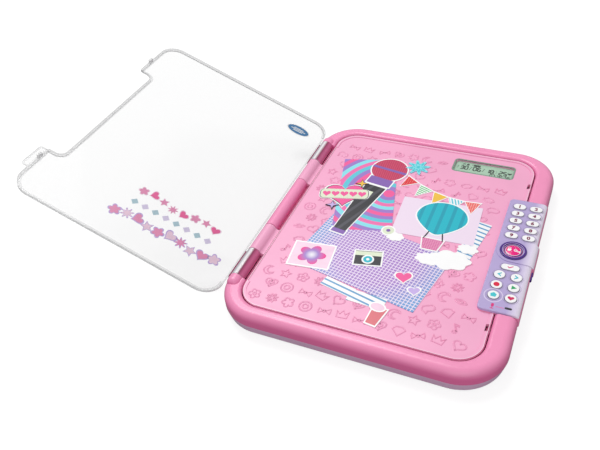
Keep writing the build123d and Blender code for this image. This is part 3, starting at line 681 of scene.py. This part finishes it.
def keypad_finish(name, plate, highlit_end, below):
    """Plate with a painted highlight that pales it towards the end that bends down over the rim, over sides
    of the rim's colour.
    """
    material, tree = new_material(name)
    start, end = keypad_highlight_fade
    highlight_share = share_between(tree, axis_of(tree, "Object", "X"), start * MM, end * MM)
    top = blend(tree, highlight_share, mottle(tree, plate), highlit_end)
    edge = (keypad_top - keypad_lip_height) * MM
    above = share_between(tree, axis_of(tree, "Object", "Z"), edge - keypad_lip_blend * MM, edge)
    return finished(material, blend(tree, above, below, top), 0.34, fine_grain)


def knuckle_finish(name, bands):
    """Clear knuckle drawn as bands by which way its surface faces: the steel pin and the seat seen through
    it, with a painted white highlight stripe and the seat painted dark as shade.
    """
    material, tree = new_material(name)
    across = share_between(tree, axis_of(tree, "Normal", "X"), -0.95, 0.75)
    return finished(material, ramp(tree, across, spread_out(bands, len(bands) - 1)), 0.12)


def wave_scale(pitch):
    """Scale that gives a wave texture its pitch, in millimetres."""
    return math.pi / 10 / (pitch * MM)


def grid_print(name, line, field, pitch, turn, middle=None):
    """Squared paper: thin lines both ways over a field, which may differ round its middle."""
    material, tree = new_material(name)
    lines = []
    for direction in ("X", "Y"):
        place = centred_on(tree, (0, 0, 0), turn)
        bands = add_node(tree, "TexWave", Scale=wave_scale(pitch), Vector=place)
        bands.bands_direction = direction
        lines.append(bands.outputs["Fac"])
    on_line = share_between(tree, calculate(tree, "MAXIMUM", *lines), 0.76, 0.92)
    if middle:
        colour, spot, radius = middle
        near = share_between(tree, closeness(tree, spot, radius), 0.05, 0.45)
        field = blend(tree, near, field, colour)
    return finished(material, blend(tree, on_line, field, line), 0.35)


def band_print(name, colours, pitch, turn, wobble=0, rings_about=None):
    """Broad bands of several colours, straight or as rings about a spot, with wavy edges."""
    material, tree = new_material(name)
    place = centred_on(tree, rings_about or (0, 0, 0), turn)
    waves = {"Scale": wave_scale(pitch), "Distortion": wobble, "Detail": 1, "Detail_Scale": 0.45}
    bands = add_node(tree, "TexWave", Vector=place, **waves)
    bands.wave_profile = "SAW"
    if rings_about:
        bands.wave_type = "RINGS"
        bands.rings_direction = "Z"
    stops = spread_out(colours, len(colours))
    return finished(material, ramp(tree, bands.outputs["Fac"], stops, "CONSTANT"), 0.32)


def dot_print(name, dot, field, pitch, share):
    """Printed dots over a coloured field."""
    material, tree = new_material(name)
    place = surface(tree, "Object")
    cells = add_node(tree, "TexVoronoi", Scale=1 / (pitch * MM), Randomness=0, Vector=place)
    stops = ((share, dot), (share + 0.06, field))
    return finished(material, ramp(tree, cells.outputs["Distance"], stops), 0.35)


def glow_print(name, spot, radius, colours):
    """Colours that blend outwards from a spot."""
    material, tree = new_material(name)
    near = closeness(tree, spot, radius)
    return finished(material, ramp(tree, near, spread_out(colours, len(colours) - 1)), 0.32)


# ---- Finishes of this object ----
looks = {name: printed(f"{name}_ink", colour) for name, colour in ink_colours.items()}
looks["white"] = printed("white_ink", (0.94, 0.94, 0.94), drift=0.01)
lid_normal = (-math.sin(lid_open_angle), 0, math.cos(lid_open_angle))
grid_middle = ((0.37, 0.19, 0.56), (*grid_middle_at, door_face), 62)
wave_colours = (hot_pink, violet_soft, pale_teal_deep, coral_pink, pale_teal, violet_soft)
glow_colours = (magenta_bright, magenta_bright, violet_soft, white)
more_looks = (
    # Deeper pink for the embossed lines is painted shade on top of their real relief.
    moulded("emboss_shaded_plastic", (0.80, 0.305, 0.495), rough=0.32),
    # Grey band on the lid's edge is painted shade.
    clear_plastic("lid_edge_shade_plastic", lid_normal, 0.12, 0.12, clear_grey, lid_edge_shade_tint),
    printed("lcd_line", lcd_ink, rough=0.5),
    printed("lcd_border", lcd_edge),
    grid_print("squared_paper", (0.80, 0.70, 0.85), (0.15, 0.33, 0.64), 2.9, -11, grid_middle),
    band_print("wave_paper", wave_colours, 30, 0, 3.5, (*wave_centre, door_face)),
    dot_print("dotted_card", (0.70, 0.42, 0.72), (0.84, 0.70, 0.84), 4.2, 0.22),
    band_print("lined_note", (white, white, (0.11, 0.32, 0.56)), 5, 76),
    band_print("flag_stripes_teal", (white, pale_teal_deep), 2.6, 20),
    band_print("flag_stripes_green", (white, (0.10, 0.52, 0.16)), 2.4, 70),
    dot_print("flag_dots_red", (0.83, 0.30, 0.28), flag_red, 2.2, 0.2),
    dot_print("flag_coral", (0.88, 0.56, 0.52), coral, 2, 0.26),
    grid_print("microphone_mesh", (0.66, 0.08, 0.17), (0.43, 0.014, 0.075), 1.7, 30),
    band_print("handle_print", (charcoal, charcoal, (0.07, 0.07, 0.085)), 9, -24),
    band_print("balloon_print", (teal, (0.01, 0.34, 0.45), teal), 9, 0),
    grid_print("basket_weave", (0.80, 0.33, 0.52), (0.64, 0.13, 0.33), 1.8, 0),
    glow_print("star_glow", (*star_card_at, door_face), 17, glow_colours),
)
looks.update((material.name, material) for material in more_looks)


def dress(material, *names):
    """Gives CAD nodes their finish."""
    for name in names:
        paint(nodes[name], material)


def dress_nodes():
    """Every CAD node gets its finish."""
    door = moulded("door_pink_plastic", door_pink, rough=0.36)
    dress(door, "door_panel", "door_hinge_barrels", "door_back_cover", "battery_cover")
    dress(rim_finish("rim_pink_plastic", rim_pink, rim_shaded_side_pink), "top_frame")
    dress(moulded("shell_lilac_plastic", shell_lilac), "bottom_shell")
    keypad = keypad_finish("keypad_lilac_plastic", keypad_lilac, keypad_painted_highlight, rim_pink)
    dress(keypad, "keypad_bezel", "unlock_surround")
    dress(moulded("deep_purple_plastic", purple, rough=0.25), "unlock_ring", "power_switch")
    dress(moulded("magenta_plastic", magenta, rough=0.22), "unlock_button")
    dress(key_finish("key_white_plastic", white, key_flank_shade_grey), *sign_keys, *number_keys)
    dress(clear_plastic("lid_clear_plastic", lid_normal, 0.03, 0.40, clear_grey, lid_tint), "clear_lid")
    dress(knuckle_finish("knuckle_clear_plastic", knuckle_bands_with_painted_light), "lid_hinge_knuckles")
    dress(clear_plastic("lens_clear_plastic", (0, 0, 1), 0.06, 0.30, (0.50, 0.60, 0.52)), "display_lens")
    dress(moulded("display_glass", lcd_green, rough=0.25, drift=0.05), "display_module")
    steel = metal("steel", (0.62, 0.62, 0.64), 0.32)
    dress(steel, "latch_keeper", "latch_bolt", "hinge_pin_lower", "hinge_pin_upper", "case_screws")
    dress(steel, "door_screws", "battery_screw", "lock_motor", "microphone")
    dress(metal("spring_steel", (0.70, 0.68, 0.62), 0.28), "battery_contacts")
    rubber = moulded("grey_rubber", (0.08, 0.08, 0.09), rough=0.7, grain=rubber_grain)
    dress(rubber, "rubber_feet", "key_mat")
    dress(moulded("board_resin", (0.02, 0.12, 0.05), rough=0.4), "main_board", "key_board")
    dress(moulded("dark_plastic", charcoal, rough=0.5), "speaker")
    dress(moulded("cell_wrap", (0.03, 0.05, 0.10), rough=0.28), "batteries")
    dress(grid_print("ruled_paper", (0.55, 0.66, 0.86), (0.90, 0.88, 0.86), 7, 0), "notepad_pages")
    dress(moulded("grey_card", (0.42, 0.36, 0.30), rough=0.8), "notepad_back")


def on_door(name, parts):
    """Joins parts as one piece that moves with the door."""
    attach(joined(name, parts), "door")


# ---- Embossed doodles on the door ----
def doodle(strokes, spot, turn):
    """One doodle: its outlines as low round lines, half sunk in the door's face."""
    rings = [line_ring(stroke, emboss_size, emboss_width) for stroke in strokes]
    piece = joined("doodle", rings)
    piece.scale.z = emboss_height / (emboss_width / 2)
    piece.rotation_euler.z = turn
    piece.location = mm(*spot, door_face)
    return settle(piece)


def near_box(spot, box, margin):
    """True where a spot is in a box of X and Y limits, or nearer to it than the margin."""
    left, right, bottom, top = box
    return left - margin < spot[0] < right + margin and bottom - margin < spot[1] < top + margin


def make_embossing():
    """Rows of doodles over the door, each row shifted by half a step."""
    draw = random.Random(7)
    left, right, bottom, top = xy_box("door_back_cover")
    kept_free = [(box, 0) for box in under_stickers]
    kept_free += [(xy_box(node), emboss_size + emboss_spare) for node in ("display_lens", "keypad_bezel")]
    pieces = []
    first = (left + emboss_margin, bottom + emboss_margin)
    rows = int((top - first[1]) / emboss_pitch[1]) + 1
    columns = int((right - first[0]) / emboss_pitch[0]) + 1
    for row, column in itertools.product(range(rows), range(columns)):
        x = first[0] + (column + 0.5 * (row % 2)) * emboss_pitch[0]
        y = first[1] + row * emboss_pitch[1]
        x += draw.uniform(-emboss_shift, emboss_shift)
        y += draw.uniform(-emboss_shift, emboss_shift)
        strokes = doodles[(row * 5 + column * 3 + draw.randrange(2)) % len(doodles)]
        turn = draw.uniform(-emboss_turn, emboss_turn)
        beyond = x > right - emboss_margin or y > top - emboss_margin
        if not beyond and not any(near_box((x, y), box, margin) for box, margin in kept_free):
            pieces.append(doodle(strokes, (x, y), turn))
    piece = joined("door_embossing", pieces)
    # The doodles' deeper pink is painted shade.
    paint(piece, "emboss_shaded_plastic")
    bpy.ops.object.shade_smooth_by_angle(angle=math.radians(emboss_smooth_angle))
    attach(piece, "door")


def make_door_seam():
    """Painted shade along the door's outer edge where its groove is, a painted highlight on the lip's edge
    just inside it, and dark floors in its catch slots as painted shade.
    """
    left, right, bottom, top = xy_box("door_back_cover")
    middle = middle_of("door_back_cover")
    parts = []
    for inset, width, colour in ((0, groove_shade_width, "groove_shade"), (groove_shade_width, edge_highlight_width, "edge_highlight")):
        outline = rounded_box(right - left - 2 * inset, top - bottom - 2 * inset, door_corner - inset)
        parts.append(ring_plate(outline, middle, 1, width, door_edge_top, ink / 2, colour))
    for y in (top - catch_from_top, bottom + catch_from_bottom):
        spot = (right - catch_slot_inset, y)
        parts.append(flat(square, spot, catch_slot_half, door_face - catch_slot_depth, ink, "groove_shade"))
    on_door("door_groove_shade", parts)


# ---- Stickers on the door ----
laid_parts = itertools.count()


def sheet_part(outline, spot, size, level, material, turn=0):
    """One printed layer of a sticker, a hair thicker than the one laid before it."""
    thickness = sticker_base + level * sticker_step + next(laid_parts) * sticker_stagger
    return flat(outline, spot, size, door_face, thickness, material, turn)


def layers(outline, spot, rows, turn=0):
    """Several layers of one outline, each row a size, a level and a material."""
    return [sheet_part(outline, spot, size, level, material, turn) for size, level, material in rows]


def bordered(outline, spot, size, level, material, turn=0):
    """Shape with a white die-cut edge round it."""
    width, depth = both_ways(size)
    edge = (width + sticker_border, depth + sticker_border)
    return layers(outline, spot, ((edge, level, "white"), (size, level + 1, material)), turn)


def turned(spot, centre, turn):
    """A spot given about a centre, once the whole is turned."""
    angle = math.radians(turn)
    x = centre[0] + spot[0] * math.cos(angle) - spot[1] * math.sin(angle)
    y = centre[1] + spot[0] * math.sin(angle) + spot[1] * math.cos(angle)
    return x, y


def tapered(foot, head=1):
    """Four-sided outline that narrows from its head to its foot."""
    return corners_of((head, 1), (-head, 1), (-foot, -1), (foot, -1))


def make_bunting():
    """String of pennants that hangs in a curve, each with its own print."""
    start, end, sag = (-14, 73), (60, 51), 9
    prints = ("flag_dots_red", "flag_stripes_green", "yellow", "flag_stripes_teal", "flag_coral")

    def on_string(way):
        """Spot and slope of the string, from 0 at its start to 1 at its end."""
        x = start[0] + way * (end[0] - start[0])
        y = start[1] + way * (end[1] - start[1]) - 4 * sag * way * (1 - way)
        slope = (end[1] - start[1] - 4 * sag * (1 - 2 * way)) / (end[0] - start[0])
        return (x, y), math.degrees(math.atan(slope))

    parts = []
    stretches = 20
    overlap = 0.4
    for number in range(stretches):
        spot, turn = on_string((number + 0.5) / stretches)
        length = math.dist(start, end) / stretches / 2 + overlap
        parts.append(sheet_part(square, spot, (length, 0.5), 3, "white", turn))
    for number, material in enumerate(prints):
        spot, turn = on_string((number + 0.5) / len(prints))
        parts += bordered(pennant, turned((0, -8), spot, turn), (6.6, 7.6), 3, material, turn)
    on_door("bunting_sticker", parts)


def make_backing_sheets():
    """Papers under the stickers: squared paper, a wavy print, a dotted card and note strips."""
    sheets = (
        ((-10, -45), (58, 35), 0, "squared_paper", -12),
        ((-42, 36), (26, 52), 1, "wave_paper", 14),
        ((29, 18), (35, 25), 1, "dotted_card", 3),
        ((2, -90), (15, 6), 0, "lined_note", -4),
        ((64, 2), (6.5, 24), 0, "lined_note", -10),
        ((-24, -84), (14, 5), 0, "lined_note", -14),
    )
    on_door("sticker_backing_sheets", [sheet_part(square, *sheet) for sheet in sheets])


def make_microphone_sticker():
    """Tall hand microphone: crimson head, purple collar and dark handle."""
    centre, turn = (-42, 16), -9
    pieces = (
        (disc, (0, 60), (17, 17), "microphone_mesh"),
        (square, (0, 40), (11.5, 5.4), "violet"),
        (tapered(0.55, 0.95), (0, -2), (10.6, 34), "handle_print"),
        (square, (0, -38), (6.4, 2.4), "violet"),
    )
    parts = []
    for outline, spot, size, material in pieces:
        parts += bordered(outline, turned(spot, centre, turn), size, 4, material, turn)
    for spot, size, material in (((0, 18), (2, 5), "cream"), ((0, 60), (17.2, 1.6), "violet")):
        parts.append(sheet_part(square, turned(spot, centre, turn), size, 6, material, turn))
    on_door("microphone_sticker", parts)


def make_balloon_sticker():
    """Teal balloon with a pink basket over white clouds."""
    x, y = 32, 22
    parts = bordered(balloon, (x, y), (22, 20), 4, "balloon_print")
    parts += bordered(tapered(0.7), (x, y - 36), (9, 6.5), 4, "basket_weave")
    for side in (-1, 1):
        parts.append(sheet_part(square, (x + side * 7, y - 25.5), (0.5, 5), 5, "charcoal", side * 14))
    clouds = (
        ((x + 19, y - 50), (18, 19), 8),
        ((x + 30, y - 33), (9, 9), 0),
        ((x + 2, y - 54), (11, 11), -6),
        ((x - 31, y - 36), (8, 9), 4),
    )
    for spot, size, turn in clouds:
        parts.append(sheet_part(cloud, spot, size, 6, "white", turn))
    on_door("balloon_sticker", parts)


def make_badge_sticker():
    """Pink heart behind a cream ribbon of small hearts, with two sparkles."""
    centre, turn = (-61, 28), 14
    hearts = (((20.2, 19.2), 4, "white"), ((18.8, 17.8), 5, "charcoal"), ((17.8, 16.8), 6, "pink"))
    parts = layers(heart, centre, hearts, turn)
    ribbon = rounded_box(44, 13, 4)
    for grow, level, material in ((1.06, 7, "white"), (1.03, 8, "charcoal"), (1, 9, "cream")):
        parts.append(sheet_part(ribbon, centre, (grow, grow * 1.02), level, material, turn))
    for number in range(5):
        spot = turned((-16.4 + 8.2 * number, 0), centre, turn)
        parts.append(sheet_part(heart, spot, (3.7, 4.3), 10, "pink", turn))
    for spot, material in (((15, 16), "yellow"), ((-9, -16.5), "lilac")):
        edged = ((6.4, 11, "charcoal"), (5, 12, material))
        parts += layers(sparkle, turned(spot, centre, turn), edged, turn)
    on_door("heart_badge_sticker", parts)


def make_star_card():
    """Pale card with a glowing flower."""
    parts = layers(square, star_card_at, (((18.4, 15), 4, "white"), ((17, 13.6), 5, "pale_pink")), 6)
    parts.append(sheet_part(flower, star_card_at, (12.6, 11.6), 6, "star_glow", 6))
    on_door("glowing_flower_card", parts)


def make_small_stickers():
    """Camera, button, rosette, paper cup and loose hearts."""
    camera_spot, turn = (-12, -46), 12
    parts = bordered(square, camera_spot, (11, 8), 4, "charcoal", turn)
    parts.append(sheet_part(square, turned((0, 5), camera_spot, turn), (11, 2.4), 6, "cream", turn))
    lens = ((5.2, 6, "white"), (3.8, 7, "teal"), (1.4, 8, "white"))
    parts += layers(disc, turned((0, -1.8), camera_spot, turn), lens)
    parts += bordered(disc, (-6.8, -8.3), 5, 4, "cream")
    parts.append(sheet_part(disc, (-6.8, -8.3), 1.8, 6, "violet"))
    rosette = (
        (12, 4, "pale_teal"), (8.8, 5, "teal_soft"), (5.6, 6, "pale_teal"), (2.6, 7, "teal_soft"),
    )
    parts += layers(daisy, (-8, 87), rosette, 20)
    parts += bordered(tapered(0.75), (14, -104), (5.4, 9), 4, "coral", -8)
    parts += bordered(disc, (12.8, -95), (5.6, 3.6), 6, "pale_pink", -8)
    for spot, size, material in (((22, -58), 6.4, "pink"), ((34, -70), 4.6, "lilac")):
        parts += bordered(heart, spot, size, 4, material, 14)
    on_door("small_stickers", parts)


# ---- Signs on the keys ----
def make_digit(digit):
    """Raised ink digit in the middle of its key."""
    node = f"number_key_{digit}"
    deselect()
    bpy.ops.object.text_add()
    sign = bpy.context.object
    sign.data.body = str(digit)
    sign.data.size = digit_size * MM
    sign.data.bevel_depth = digit_boldness * MM
    sign.data.bevel_resolution = 0
    bpy.ops.object.convert(target="MESH")
    sign = bpy.context.object
    bpy.ops.object.origin_set(type="ORIGIN_GEOMETRY", center="BOUNDS")
    sign.name = f"digit_{digit}"
    sign.location = mm(*middle_of(node), key_top)
    sign.scale.z = ink / digit_boldness
    settle(sign)
    paint(sign, "digit")
    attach(sign, f"{node}_body")


chevron = corners_of((0.55, 0.95), (-0.75, 0), (0.55, -0.95), (0.55, -0.45), (-0.05, 0), (0.55, 0.45))
triangle = corners_of((1, 0), (-0.65, 0.85), (-0.65, -0.85))
house = corners_of((0, 1), (-0.95, 0.28), (-0.72, -0.85), (0.72, -0.85), (0.95, 0.28))
tick = corners_of((-1, 0.05), (-0.62, 0.32), (-0.30, -0.12), (0.78, 0.85), (1, 0.52), (-0.28, -0.72))
key_signs = (
    ("back_key", chevron, 2.5, "teal", 0),
    ("forward_key", chevron, 2.5, "teal", 180),
    ("record_key", disc, 2.3, "red", 0),
    ("play_key", triangle, 2.4, "green", 0),
    ("house_key", house, 2.5, "teal_soft", 0),
    ("heart_key", heart, (2.5, 2.3), "crimson", 0),
    ("tick_key", tick, (2.4, 1.9), "magenta", 0),
)


def make_key_signs():
    """Digits and flat signs on the keys' tops."""
    for digit in range(10):
        make_digit(digit)
    for node, outline, size, material, turn in key_signs:
        sign = flat(outline, middle_of(node), size, key_top, ink, material, turn)
        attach(joined(f"{node}_sign", [sign]), f"{node}_body")


# ---- Prints on the keypad ----
def make_key_lines():
    """Thin dark line round each key's hole, painted shade of the gap round the key."""
    parts = []
    grow = 2 * (key_gap + key_gap_shade_width)
    for name in number_keys + sign_keys:
        left, right, bottom, top = xy_box(name)
        outline = stadium(right - left + grow, top - bottom + grow)
        line = ring_plate(outline, middle_of(name), 1, key_gap_shade_width, keypad_top, ink / 2, "key_gap_shade")
        parts.append(line)
    on_door("key_gap_shades", parts)


def make_keypad_prints():
    """Rings round the house key and the unlock button, microphone sign, its line and its slot."""
    x, y = middle_of("house_key")
    mic_x, mic_y = x + 1.4, low("microphone", Y) + 1.6
    line_spot = ((mic_x + mic_slot_left) / 2 + 0.8, mic_y)
    line_half = ((mic_slot_left - mic_x) / 2 - 1.6, 0.22)
    plates = (
        (stadium(3.6, 2), (mic_x, mic_y + 0.9), 1, ink, "magenta", 90),
        (square, (mic_x, mic_y - 1.8), (0.25, 0.8), ink, "magenta", 0),
        (square, (mic_x, mic_y - 2.5), (1.3, 0.3), ink_lift * ink, "magenta", 0),
        (stadium(5.4, 2.1), middle_of("microphone"), 1, ink, "charcoal", 0),
        (square, line_spot, line_half, ink, "pink", 0),
    )
    parts = [ring_plate(disc, (x, y), 7.2, 0.7, keypad_top, ink, "pale_lilac")]
    ring_top = high("unlock_ring", Z)
    parts.append(ring_plate(disc, middle_of("unlock_ring"), 8.75, 0.35, ring_top, ink, "lilac"))
    for outline, spot, size, height, material, turn in plates:
        parts.append(flat(outline, spot, size, keypad_top, height, material, turn))
    on_door("keypad_prints", parts)


def make_unlock_signs():
    """White padlock, stroke and key, a purple band and a white ring, bent over the button's dome."""
    x, y = middle_of("unlock_button")
    shapes = (
        (stadium(3.2, 2.6), (x - 3.1, y - 0.5), 1, 0),
        (square, (x + 0.1, y), (0.26, 3), -24),
        (square, (x + 3.6, y - 0.2), (1.9, 0.42), 0),
        (square, (x + 4.9, y - 1), (0.4, 0.9), 0),
        (square, (x + 3.8, y - 0.9), (0.36, 0.7), 0),
    )
    rings = (
        ((x - 3.1, y + 1.3), (1.25, 1.6), 0.45, ink_lift * ink, "white"),
        ((x + 1.9, y - 0.2), 1.45, 0.55, ink_lift * ink, "white"),
        ((x, y), 7, 0.85, ink, "purple"),
        ((x, y), 6.15, 0.3, ink, "white"),
    )
    parts = [flat(outline, spot, size, 0, ink, "white", turn) for outline, spot, size, turn in shapes]
    parts += [ring_plate(disc, spot, size, width, 0, *look) for spot, size, width, *look in rings]
    piece = joined("unlock_signs", parts)
    dome_top = high("unlock_button", Z)
    for corner in piece.data.vertices:
        out = math.hypot(corner.co.x / MM - x, corner.co.y / MM - y)
        corner.co.z += (dome_top - out * out / (2 * dome_radius)) * MM
    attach(piece, "unlock_button_body")


# ---- Display ----
segments = {
    "a": (0, 1, 0), "b": (0.5, 0.5, 90), "c": (0.5, -0.5, 90), "d": (0, -1, 0),
    "e": (-0.5, -0.5, 90), "f": (-0.5, 0.5, 90), "g": (0, 0, 0),
}
lit_segments = {
    "0": "abcdef", "1": "bc", "2": "abged", "3": "abgcd", "4": "fgbc",
    "5": "afgcd", "6": "afgedc", "7": "abc", "8": "abcdefg", "9": "abcdfg",
}
segment_shape = corners_of((1, 0), (0.85, 1), (-0.85, 1), (-1, 0), (-0.85, -1), (0.85, -1))
segment_half = (0.235, 0.115)


def lit(outline, spot, size, turn=0):
    """Dark mark on the display."""
    return flat(outline, spot, size, display_face, ink, "lcd_line", turn)


def display_digit(digit, spot, height):
    """One digit of seven segments, each with its middle in half heights and its turn."""
    parts = []
    half = (height * segment_half[0], height * segment_half[1])
    for x, y, turn in (segments[name] for name in lit_segments[digit]):
        middle = (spot[0] + x * height / 2, spot[1] + y * height / 2)
        parts.append(lit(segment_shape, middle, half, turn))
    return parts


def display_row(text, start, height, pitch):
    """Row of digits, colons and strokes."""
    parts = []
    for place, sign in enumerate(text):
        x, y = start[0] + place * pitch, start[1]
        if sign in lit_segments:
            parts += display_digit(sign, (x, y), height)
        elif sign == ":":
            parts += [lit(square, (x, y + lift * height), height * 0.07) for lift in (-0.22, 0.22)]
        elif sign == "/":
            parts.append(lit(square, (x, y), (height * 0.05, height * 0.5), -18))
    return parts


def make_display_signs():
    """Dark figures on the display: small signs, a row of large digits and a row of small ones."""
    left, right, bottom, top = xy_box("display_lens")
    parts = display_row("30/06/18:25", (left + 8.4, top - 9.8), 5.4, 4)
    parts += display_row("07:42:56", (right - 20.5, bottom + 5.2), 3.4, 2.3)
    marks = (
        (bubble, (left + 9.5, top - 4.6), 1.3),
        (disc, (left + 13.1, top - 4.6), 1.3),
        (note_stem, (left + 16.7, top - 4.6), 1.3),
        (square, (left + 21.5, top - 4.6), (3.2, 1.5)),
        (heart, (right - 4.6, top - 9), (2.2, 1.8)),
        (bolt, (left + 4.4, top - 9.6), (1.2, 2.2)),
        (square, (left + 12, bottom + 3.4), (3.2, 0.7)),
    )
    parts += [lit(*mark) for mark in marks]
    on_door("display_signs", parts)


def make_display_border():
    """Dark green print round the window, on top of the lens."""
    left, right, bottom, top = xy_box("display_lens")
    outline = rounded_box(right - left - 2 * lens_gap, top - bottom - 2 * lens_gap, display_corner)
    border = ring_plate(outline, middle_of("display_lens"), 1, display_border, door_face, ink, "lcd_border")
    on_door("display_border", [border])


# ---- Prints on the clear lid, laid on it closed and then swung open with it ----
def swing_open(piece):
    """Turns a piece that was laid on the closed lid about the hinge to where the lid rests."""
    pivot = mm(hinge_x, 0, hinge_z)
    turn = Matrix.Rotation(-lid_open_angle, 4, "Y")
    piece.matrix_world = Matrix.Translation(pivot) @ turn @ Matrix.Translation(-pivot)
    return settle(piece)


def make_lid_edge():
    """Faint grey band all along the lid's outline, painted shade for the light bent at the lid's edges,
    laid on its outer face but not on the catches' barbs.
    """
    pick(nodes["clear_lid"])
    bpy.ops.object.duplicate()
    border = bpy.context.object
    border.name = "lid_edge_shade_band"
    bpy.ops.mesh.customdata_custom_splitnormals_clear()
    bpy.ops.object.mode_set(mode="EDIT")
    bpy.ops.mesh.select_all(action="SELECT")
    bpy.ops.mesh.remove_doubles(threshold=0.00001)
    bpy.ops.mesh.select_mode(type="FACE")
    bpy.ops.mesh.select_all(action="DESELECT")
    bpy.ops.object.mode_set(mode="OBJECT")
    outward = Vector(lid_normal)
    barb_level = max(face.center.dot(outward) for face in border.data.polygons) - lid_barb_drop * MM
    for face in border.data.polygons:
        face.select = face.normal.dot(outward) < outward_share or face.center.dot(outward) < barb_level
    bpy.ops.object.mode_set(mode="EDIT")
    bpy.ops.mesh.delete(type="FACE")
    bpy.ops.mesh.select_mode(type="VERT")
    keep_border(lid_edge_shade_width)
    thicken(border, ink)
    border.location = outward * ink / 2 * MM
    settle(border)
    paint(border, "lid_edge_shade_plastic")
    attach(border, "lid")


def lid_part(outline, spot, size, layer, material, turn=0):
    """One printed layer on the lid; layer 0 is what shows through it from inside."""
    return flat(outline, spot, size, lid_top + layer * ink, ink, material, turn)


def two_sided(outline, spot, size, edge, fill, edging, turn=0):
    """Motif with an edge round it that looks the same through the lid and from outside."""
    width, depth = both_ways(size)
    rows = ((size, fill), ((width + edge, depth + edge), edging), (size, fill))
    return [lid_part(outline, spot, grown, layer, look, turn) for layer, (grown, look) in enumerate(rows)]


def make_lid_prints():
    """Blue oval near the top, and rows of hearts, stars and flowers near the bottom."""
    oval_x, oval_y, stroke_gap = -71, 108, 1.9
    parts = two_sided(disc, (oval_x, oval_y), (11.6, 5.9), 0.9, "sky", "white")
    for layer in (-0.5, 2.5):
        for place, width in ((1, 5.2), (0, 8), (-1, 5.2)):
            spot = (oval_x, oval_y + place * stroke_gap)
            parts.append(lid_part(square, spot, (width, 0.5), layer, "white"))
    upper = (heart, star, flower, heart, daisy, star, heart, flower)
    for number, outline in enumerate(upper):
        spot = (-66 + number * 10.4, -62 + 2.4 * math.sin(number * 1.3))
        fill = "rose" if number % 3 else "pink"
        parts += two_sided(outline, spot, 4.2, 1, fill, "pale_pink", number * 9)
    lower = (flower, heart, star, daisy, heart, flower, star, heart, daisy, flower)
    for number, outline in enumerate(lower):
        spot = (-80 + number * 10.6, -92 + 2 * math.cos(number * 1.7))
        fill = "rose" if number % 2 else "pale_pink"
        parts += two_sided(outline, spot, 5, 1.4, fill, "lilac", number * 7)
    for number in range(8):
        spot = (-66 + number * 10.4, -76)
        parts.append(lid_part(square, spot, 2.6, 0, ("pale_lilac", "mist")[number % 2], 45))
    piece = joined("lid_prints", parts)
    swing_open(piece)
    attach(piece, "lid")


dress_nodes()
make_embossing()
make_backing_sheets()
make_bunting()
make_microphone_sticker()
make_balloon_sticker()
make_badge_sticker()
make_star_card()
make_small_stickers()
make_key_signs()
make_key_lines()
make_keypad_prints()
make_unlock_signs()
make_door_seam()
make_lid_edge()
make_display_signs()
make_display_border()
make_lid_prints()


# ---- Stage, lamps and camera ----
def seen_directly(tree):
    """1 for what the camera sees, also through clear plastic, else 0."""
    path = add_node(tree, "LightPath").outputs
    return calculate(tree, "MAXIMUM", path["Is Camera Ray"], path["Is Transmission Ray"])


def make_stage():
    """Pale floor that glows where it is seen, so that it is nearly white but lights the case little."""
    deselect()
    bpy.ops.mesh.primitive_plane_add(size=floor_size, location=(0, 0, low("rubber_feet", Z) * MM))
    floor = bpy.context.object
    floor.name = "floor"
    material, tree = new_material("pale_floor")
    shader = shader_of(finished(material, floor_grey, 0.9))
    shader.inputs["Specular IOR Level"].default_value = 0
    glow = add_node(tree, "Emission", Strength=calculate(tree, "MULTIPLY", seen_directly(tree), floor_glow))
    both = add_node(tree, "AddShader")
    tree.links.new(shader.outputs["BSDF"], both.inputs[0])
    tree.links.new(glow.outputs["Emission"], both.inputs[1])
    tree.links.new(both.outputs["Shader"], tree.nodes["Material Output"].inputs["Surface"])
    paint(floor, material)


def make_world():
    """White surroundings, dimmer as a light than as a background."""
    world = bpy.data.worlds.new("studio")
    bpy.context.scene.world = world
    world.use_nodes = True
    tree = world.node_tree
    backdrop = tree.nodes["Background"].inputs
    feed(tree, backdrop["Color"], (1, 1, 1))
    feed(tree, backdrop["Strength"], share_between(tree, seen_directly(tree), 0, 1, world_strength, 1))


def add_lamp(name, spot, size, power):
    """Soft square lamp that looks at the middle of the case."""
    deselect()
    bpy.ops.object.light_add(type="AREA", location=spot)
    lamp = bpy.context.object
    lamp.name = name
    lamp.data.size = size
    lamp.data.energy = power
    lamp.rotation_euler = (-Vector(spot)).to_track_quat("-Z", "Y").to_euler()


def make_camera():
    """Camera in front of the case, above it and a little to the right."""
    deselect()
    bpy.ops.object.camera_add(location=mm(*camera_at))
    camera = bpy.context.object
    camera.rotation_euler = [math.radians(angle) for angle in camera_angles]
    camera.data.sensor_width = camera_sensor
    camera.data.lens = camera_lens
    camera.data.clip_start = camera_nearest
    bpy.context.scene.camera = camera


make_stage()
make_world()
for lamp in lamps:
    add_lamp(*lamp)
make_camera()
bpy.context.scene.view_settings.view_transform = "Standard"
